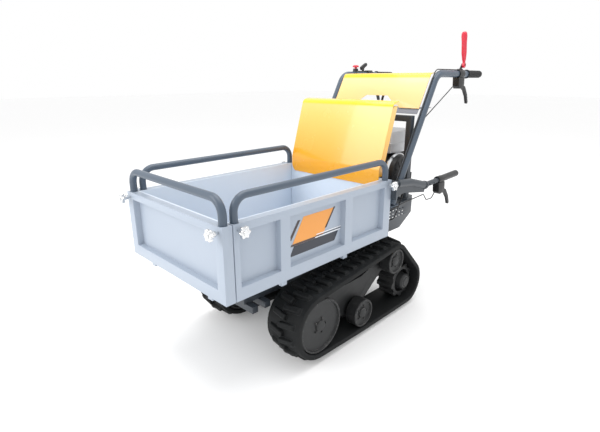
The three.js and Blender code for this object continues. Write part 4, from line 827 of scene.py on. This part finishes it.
def add_star(mesh_source, place, axis):
    """A six-lobed head: a circle whose radius swings with the angle, given thickness and rounded."""
    ring = bmesh.ops.create_circle(
        mesh_source, cap_ends=True, radius=KNOB_RADIUS, segments=72)["verts"]
    for v in ring:
        angle = math.atan2(v.co.y, v.co.x)
        swing = KNOB_RADIUS - KNOB_LOBE / 2 + KNOB_LOBE / 2 * math.cos(LOBES * angle)
        v.co = v.co.normalized() * swing
    face = list({f for v in ring for f in v.link_faces})
    made = bmesh.ops.extrude_face_region(mesh_source, geom=face)["geom"]
    top = [g for g in made if isinstance(g, bmesh.types.BMVert)]
    bmesh.ops.translate(mesh_source, verts=top, vec=(0, 0, 0.014))
    rims = [e for e in {e for v in ring + top for e in v.link_edges}
            if len(e.link_faces) == 2 and e.calc_face_angle(0.0) > math.radians(60)]
    bmesh.ops.bevel(
        mesh_source, geom=rims, offset=0.003, offset_type="OFFSET", affect="EDGES", segments=3,
        profile=0.5, material=-1, clamp_overlap=True)
    turned_to = Vector(axis).to_track_quat("Z", "Y").to_matrix().to_4x4()
    lift = Matrix.Translation((0, 0, 0.026))
    bmesh.ops.transform(
        mesh_source, matrix=Matrix.Translation(place) @ turned_to @ lift, verts=mesh_source.verts)


STEM = [(0.0, -0.003), (0.004, -0.003), (0.004, 0.006), (0.008, 0.008), (0.0095, 0.014),
        (0.010, 0.038), (0.009, 0.0435), (0.0, 0.044)]
for joint in frame["joints"]:
    if "clamp" in joint["name"]:
        node = frame["record"]["behaviour"]["bodies"][joint["child"]][0]
        mesh_source = bmesh.new()
        add_star(mesh_source, Vector(joint["pos_m"]), joint["axis"])
        add_turned(mesh_source, STEM, Vector(joint["pos_m"]), joint["axis"], 32)
        finished(node + "_star", mesh_source, [node])

# %% Grips
GRIP_RADIUS = 0.019


def grip_profile(length):
    """A sleeve with a flange at the hand end's start and rings moulded along it."""
    points = [(0.0, 0.0), (0.0225, 0.0), (0.0225, 0.006), (GRIP_RADIUS, 0.011)]
    rings = 16
    step = (length - 0.030) / rings
    for k in range(rings):
        base = 0.014 + k * step
        points += [(GRIP_RADIUS, base), (GRIP_RADIUS, base + 0.55 * step),
                   (GRIP_RADIUS - 0.0012, base + 0.65 * step), (GRIP_RADIUS - 0.0012, base + 0.9 * step)]
    points += [(GRIP_RADIUS, length - 0.008), (GRIP_RADIUS - 0.001, length - 0.003),
               (GRIP_RADIUS - 0.004, length), (0.0, length)]
    return points


for side in ("left", "right"):
    low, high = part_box(side + "_grip")
    mesh_source = bmesh.new()
    start = Vector(((low.x + high.x) / 2, low.y, (low.z + high.z) / 2))
    add_turned(mesh_source, grip_profile(high.y - low.y), start, (0, 1, 0), 40)
    finished(side + "_grip_sleeve", mesh_source, [side + "_grip"])
print("grips moulded")

# %% [markdown]
# The red lever engages the drive. It is a thick plastic handle on a round hub, in a bright steel saddle
# that is clamped to the bar. The stop button and the fuel cap are small turned mouldings.

# %% Red lever, button and caps
lever = joint_named["clutch_lever_swing"]
pivot = Vector(lever["pos_m"])
low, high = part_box("clutch_lever")
lean = math.radians(12)
up = Vector((0, math.sin(lean) * math.copysign(1, (low.y + high.y) / 2 - pivot.y), math.cos(lean)))
mesh_source = bmesh.new()
add_turned(mesh_source, [
    (0.0, 0.004), (0.007, 0.006), (0.007, 0.016), (0.010, 0.028), (0.013, 0.060), (0.013, 0.110),
    (0.0148, 0.140), (0.013, 0.154), (0.008, 0.161), (0.0, 0.162)],
    pivot + Vector((0.0035, 0, 0)), up, 32)
add_turned(mesh_source, [
    (0.0, -0.003), (0.012, -0.003), (0.014, -0.001), (0.014, 0.008), (0.011, 0.010), (0.0, 0.010)],
    pivot, (1, 0, 0), 32)
finished("red_lever", mesh_source, ["clutch_lever"])

mesh_source = bmesh.new()
add_rod(mesh_source, (BAR_X, pivot.y - 0.018, BAR_CORNER[1]), (0, 1, 0), 0.020, BAR_RADIUS + 0.0035, 32)
finished("lever_saddle", mesh_source, [], finishes["zinc_plate"], "zinc_plate", "chassis")

low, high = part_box("stop_switch")
mesh_source = bmesh.new()
add_turned(mesh_source, [
    (0.0, 0.0), (0.007, 0.0), (0.007, 0.012), (0.016, 0.0135), (0.018, 0.016), (0.018, 0.019),
    (0.016, 0.0225), (0.011, 0.025), (0.0, 0.026)],
    ((low.x + high.x) / 2, (low.y + high.y) / 2, low.z), (0, 0, 1), 36)
finished("stop_button_head", mesh_source, ["stop_switch"])

low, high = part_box("fuel_cap")
mesh_source = bmesh.new()
add_turned(mesh_source, [
    (0.0, 0.006), (0.023, 0.006), (0.023, 0.0), (0.0265, 0.002), (0.0265, 0.018), (0.024, 0.022),
    (0.0, 0.025)], ((low.x + high.x) / 2, (low.y + high.y) / 2, low.z), (0, 0, 1), 48)
finished("fuel_cap_moulding", mesh_source, ["fuel_cap"])
print("lever, button and cap made")

# %% Gear lever
GEAR_PIVOT = Vector(joint_named["gear_selector_swing"]["pos_m"])
mesh_source = bmesh.new()
add_tube(mesh_source, [GEAR_PIVOT, GEAR_PIVOT + Vector((0, 0, 0.054)),
                       GEAR_PIVOT + Vector((0, 0.034, 0.118))], 0.006, 0.030, 20)
add_rod(mesh_source, GEAR_PIVOT, (1, 0, 0), 0.016, 0.011, 24)
bmesh.ops.create_uvsphere(
    mesh_source, u_segments=32, v_segments=20, radius=0.017,
    matrix=Matrix.Translation(GEAR_PIVOT + Vector((0, 0.038, 0.126))))
finished("gear_stick", mesh_source, ["gear_lever"])

# %% [markdown]
# The recoil starter sits under a black drum with a bright pressed rim. The drum's face carries a ring of
# ribs between which the fan draws air.

# %% Recoil starter cover
low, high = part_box("recoil_cover")
crank = Vector((0, (low.y + high.y) / 2, (low.z + high.z) / 2))
radius = (high.y - low.y) / 2
mesh_source = bmesh.new()
add_turned(mesh_source, [
    (radius - 0.016, low.x), (radius - 0.001, low.x), (radius, low.x + 0.003), (radius, high.x - 0.040),
    (radius - 0.006, high.x - 0.031), (radius - 0.018, high.x - 0.003), (radius - 0.024, high.x),
    (0.030, high.x), (0.026, high.x - 0.004), (0.0, high.x - 0.004)], crank, (1, 0, 0), 72)
for k in range(12):
    turn = math.radians(30 * k)
    way = Matrix.Rotation(turn, 4, "X")
    size = Matrix.Diagonal((0.004, 0.034, 0.005, 1.0))
    bmesh.ops.create_cube(
        mesh_source, size=1.0,
        matrix=Matrix.Translation(crank + Vector((high.x + 0.0005, 0, 0))) @ way
        @ Matrix.Translation((0, 0.052, 0)) @ size)
finished("recoil_drum", mesh_source, ["recoil_cover"])

mesh_source = bmesh.new()
add_turned(mesh_source, [
    (radius - 0.010, high.x - 0.024), (radius - 0.003, high.x - 0.034), (radius + 0.001, high.x - 0.036),
    (radius + 0.002, high.x - 0.030), (radius - 0.006, high.x - 0.021), (radius - 0.010, high.x - 0.024)],
    crank, (1, 0, 0), 72)
finished("recoil_rim", mesh_source, [], finishes["zinc_plate"], "zinc_plate", "chassis")
print("recoil drum radius", round(radius, 3), "m")

# %% [markdown]
# The side decal is a thin film in the middle field of the left panel: an orange parallelogram between
# two dark slanted stripes, over a navy strip. It carries no letters. Each shape is a real sliver of film,
# so it moves with the panel and shows its edge.


# %% Side decal
def plain_film(name, color):
    b = Builder(name)
    b.bump(b.noise(800.0, 2.0), 0.00002, 0.4)
    cloud = b.noise(9.0)
    shade = b.mix(cloud * 0.2, color, tuple(c * 0.85 for c in color))
    return b.surface(shade, 0.30 + (cloud - 0.5) * 0.1, 0.0, 0.3, 0.1)


FIELD_DEPTH = 0.025
FILM_BACK = 0.0001  # from the field to a film's back face
FILM_FRONT = 0.0005
LINE_LIFT = 0.0006  # the thin lines lie over the other films
openings = {o["name"]: o["box_m"] for o in frame["record"]["physics"]["openings"]}
field_low = openings["left_panel_field_middle"][0]
panel_face = max(j["pos_m"][0] for j in frame["joints"] if "side_clamp" in j["name"])
film_x = panel_face - FIELD_DEPTH
decal_y = field_low[1] + 0.028


def add_film(name, color, start, width, bottom, top, slant, lift=0.0):
    """A slanted strip: start is measured along the field, slant is how far the top moves back."""
    y = decal_y + start
    mesh_source = bmesh.new()
    add_plate(mesh_source, [
        (y, bottom), (y + width, bottom), (y + width + slant, top), (y + slant, top)],
        film_x + FILM_BACK + lift, film_x + FILM_FRONT + lift)
    finished(name, mesh_source, [], plain_film(name, color), "panel_paint", "left_side")


add_film("decal_orange", (0.83, 0.33, 0.05), 0.0, 0.168, 0.546, 0.640, 0.058)
add_film("decal_stripe_front", (0.035, 0.020, 0.018), -0.020, 0.014, 0.562, 0.632, 0.048)
add_film("decal_stripe_rear", (0.035, 0.020, 0.018), 0.176, 0.010, 0.567, 0.642, 0.051)
add_film("decal_shadow", (0.050, 0.026, 0.020), -0.010, 0.168, 0.5375, 0.5455, 0.005)
add_film("decal_navy", (0.007, 0.012, 0.026), -0.014, 0.250, 0.499, 0.537, 0.022)
add_film("decal_white_low", (0.85, 0.87, 0.90), 0.120, 0.150, 0.539, 0.543, 0.003, LINE_LIFT)
add_film("decal_navy_line", (0.007, 0.012, 0.026), 0.125, 0.150, 0.545, 0.5475, 0.002, LINE_LIFT)
add_film("decal_white_high", (0.85, 0.87, 0.90), 0.127, 0.150, 0.550, 0.5535, 0.003, LINE_LIFT)
print("decal on the plane x =", round(film_x, 4), "m")

# %% Paint the rest
for node, thing in nodes.items():
    thing.data.materials.clear()
    thing.data.materials.append(finishes[slot_of_node[node]])
print("finishes on every node")

# %% [markdown]
# The machine stands on a plain pale floor in a white studio. Large soft lights keep the shadows faint:
# the strongest is overhead and reaches into the bed, one in front brightens the front panel, and a weak
# one stands on the left.

# %% Floor and lights
floor_mesh = bmesh.new()
bmesh.ops.create_grid(floor_mesh, x_segments=1, y_segments=1, size=30.0)
floor_data = bpy.data.meshes.new("floor")
floor_mesh.to_mesh(floor_data)
floor_mesh.free()
floor = bpy.data.objects.new("floor", floor_data)
bpy.context.scene.collection.objects.link(floor)
floor_finish = Builder("floor")
floor_finish.shader.inputs["Emission Strength"].default_value = 0.16
floor_finish.feed(floor_finish.shader.inputs["Emission Color"], (1.0, 1.0, 1.0))
floor_data.materials.append(floor_finish.surface((0.80, 0.80, 0.80), 0.9))


def soft_light(name, place, power, size):
    light = bpy.data.lights.new(name, "AREA")
    light.energy = power
    light.size = size
    thing = bpy.data.objects.new(name, light)
    bpy.context.scene.collection.objects.link(thing)
    thing.location = place
    thing.rotation_euler = (Vector((0, 0, 0.5)) - Vector(place)).to_track_quat("-Z", "Y").to_euler()


soft_light("key_light", (-1.2, -3.6, 2.4), 72, 2.6)
soft_light("fill_light", (3.8, -0.4, 2.4), 2, 3.0)
soft_light("top_light", (0.0, 0.2, 4.2), 105, 3.6)
world = bpy.data.worlds.new("studio")
world.use_nodes = True
world.node_tree.nodes["Background"].inputs["Color"].default_value = (1.0, 1.0, 1.0, 1.0)
world.node_tree.nodes["Background"].inputs["Strength"].default_value = 1.0
bpy.context.scene.world = world
bpy.context.scene.view_settings.view_transform = "Standard"
print("studio ready")
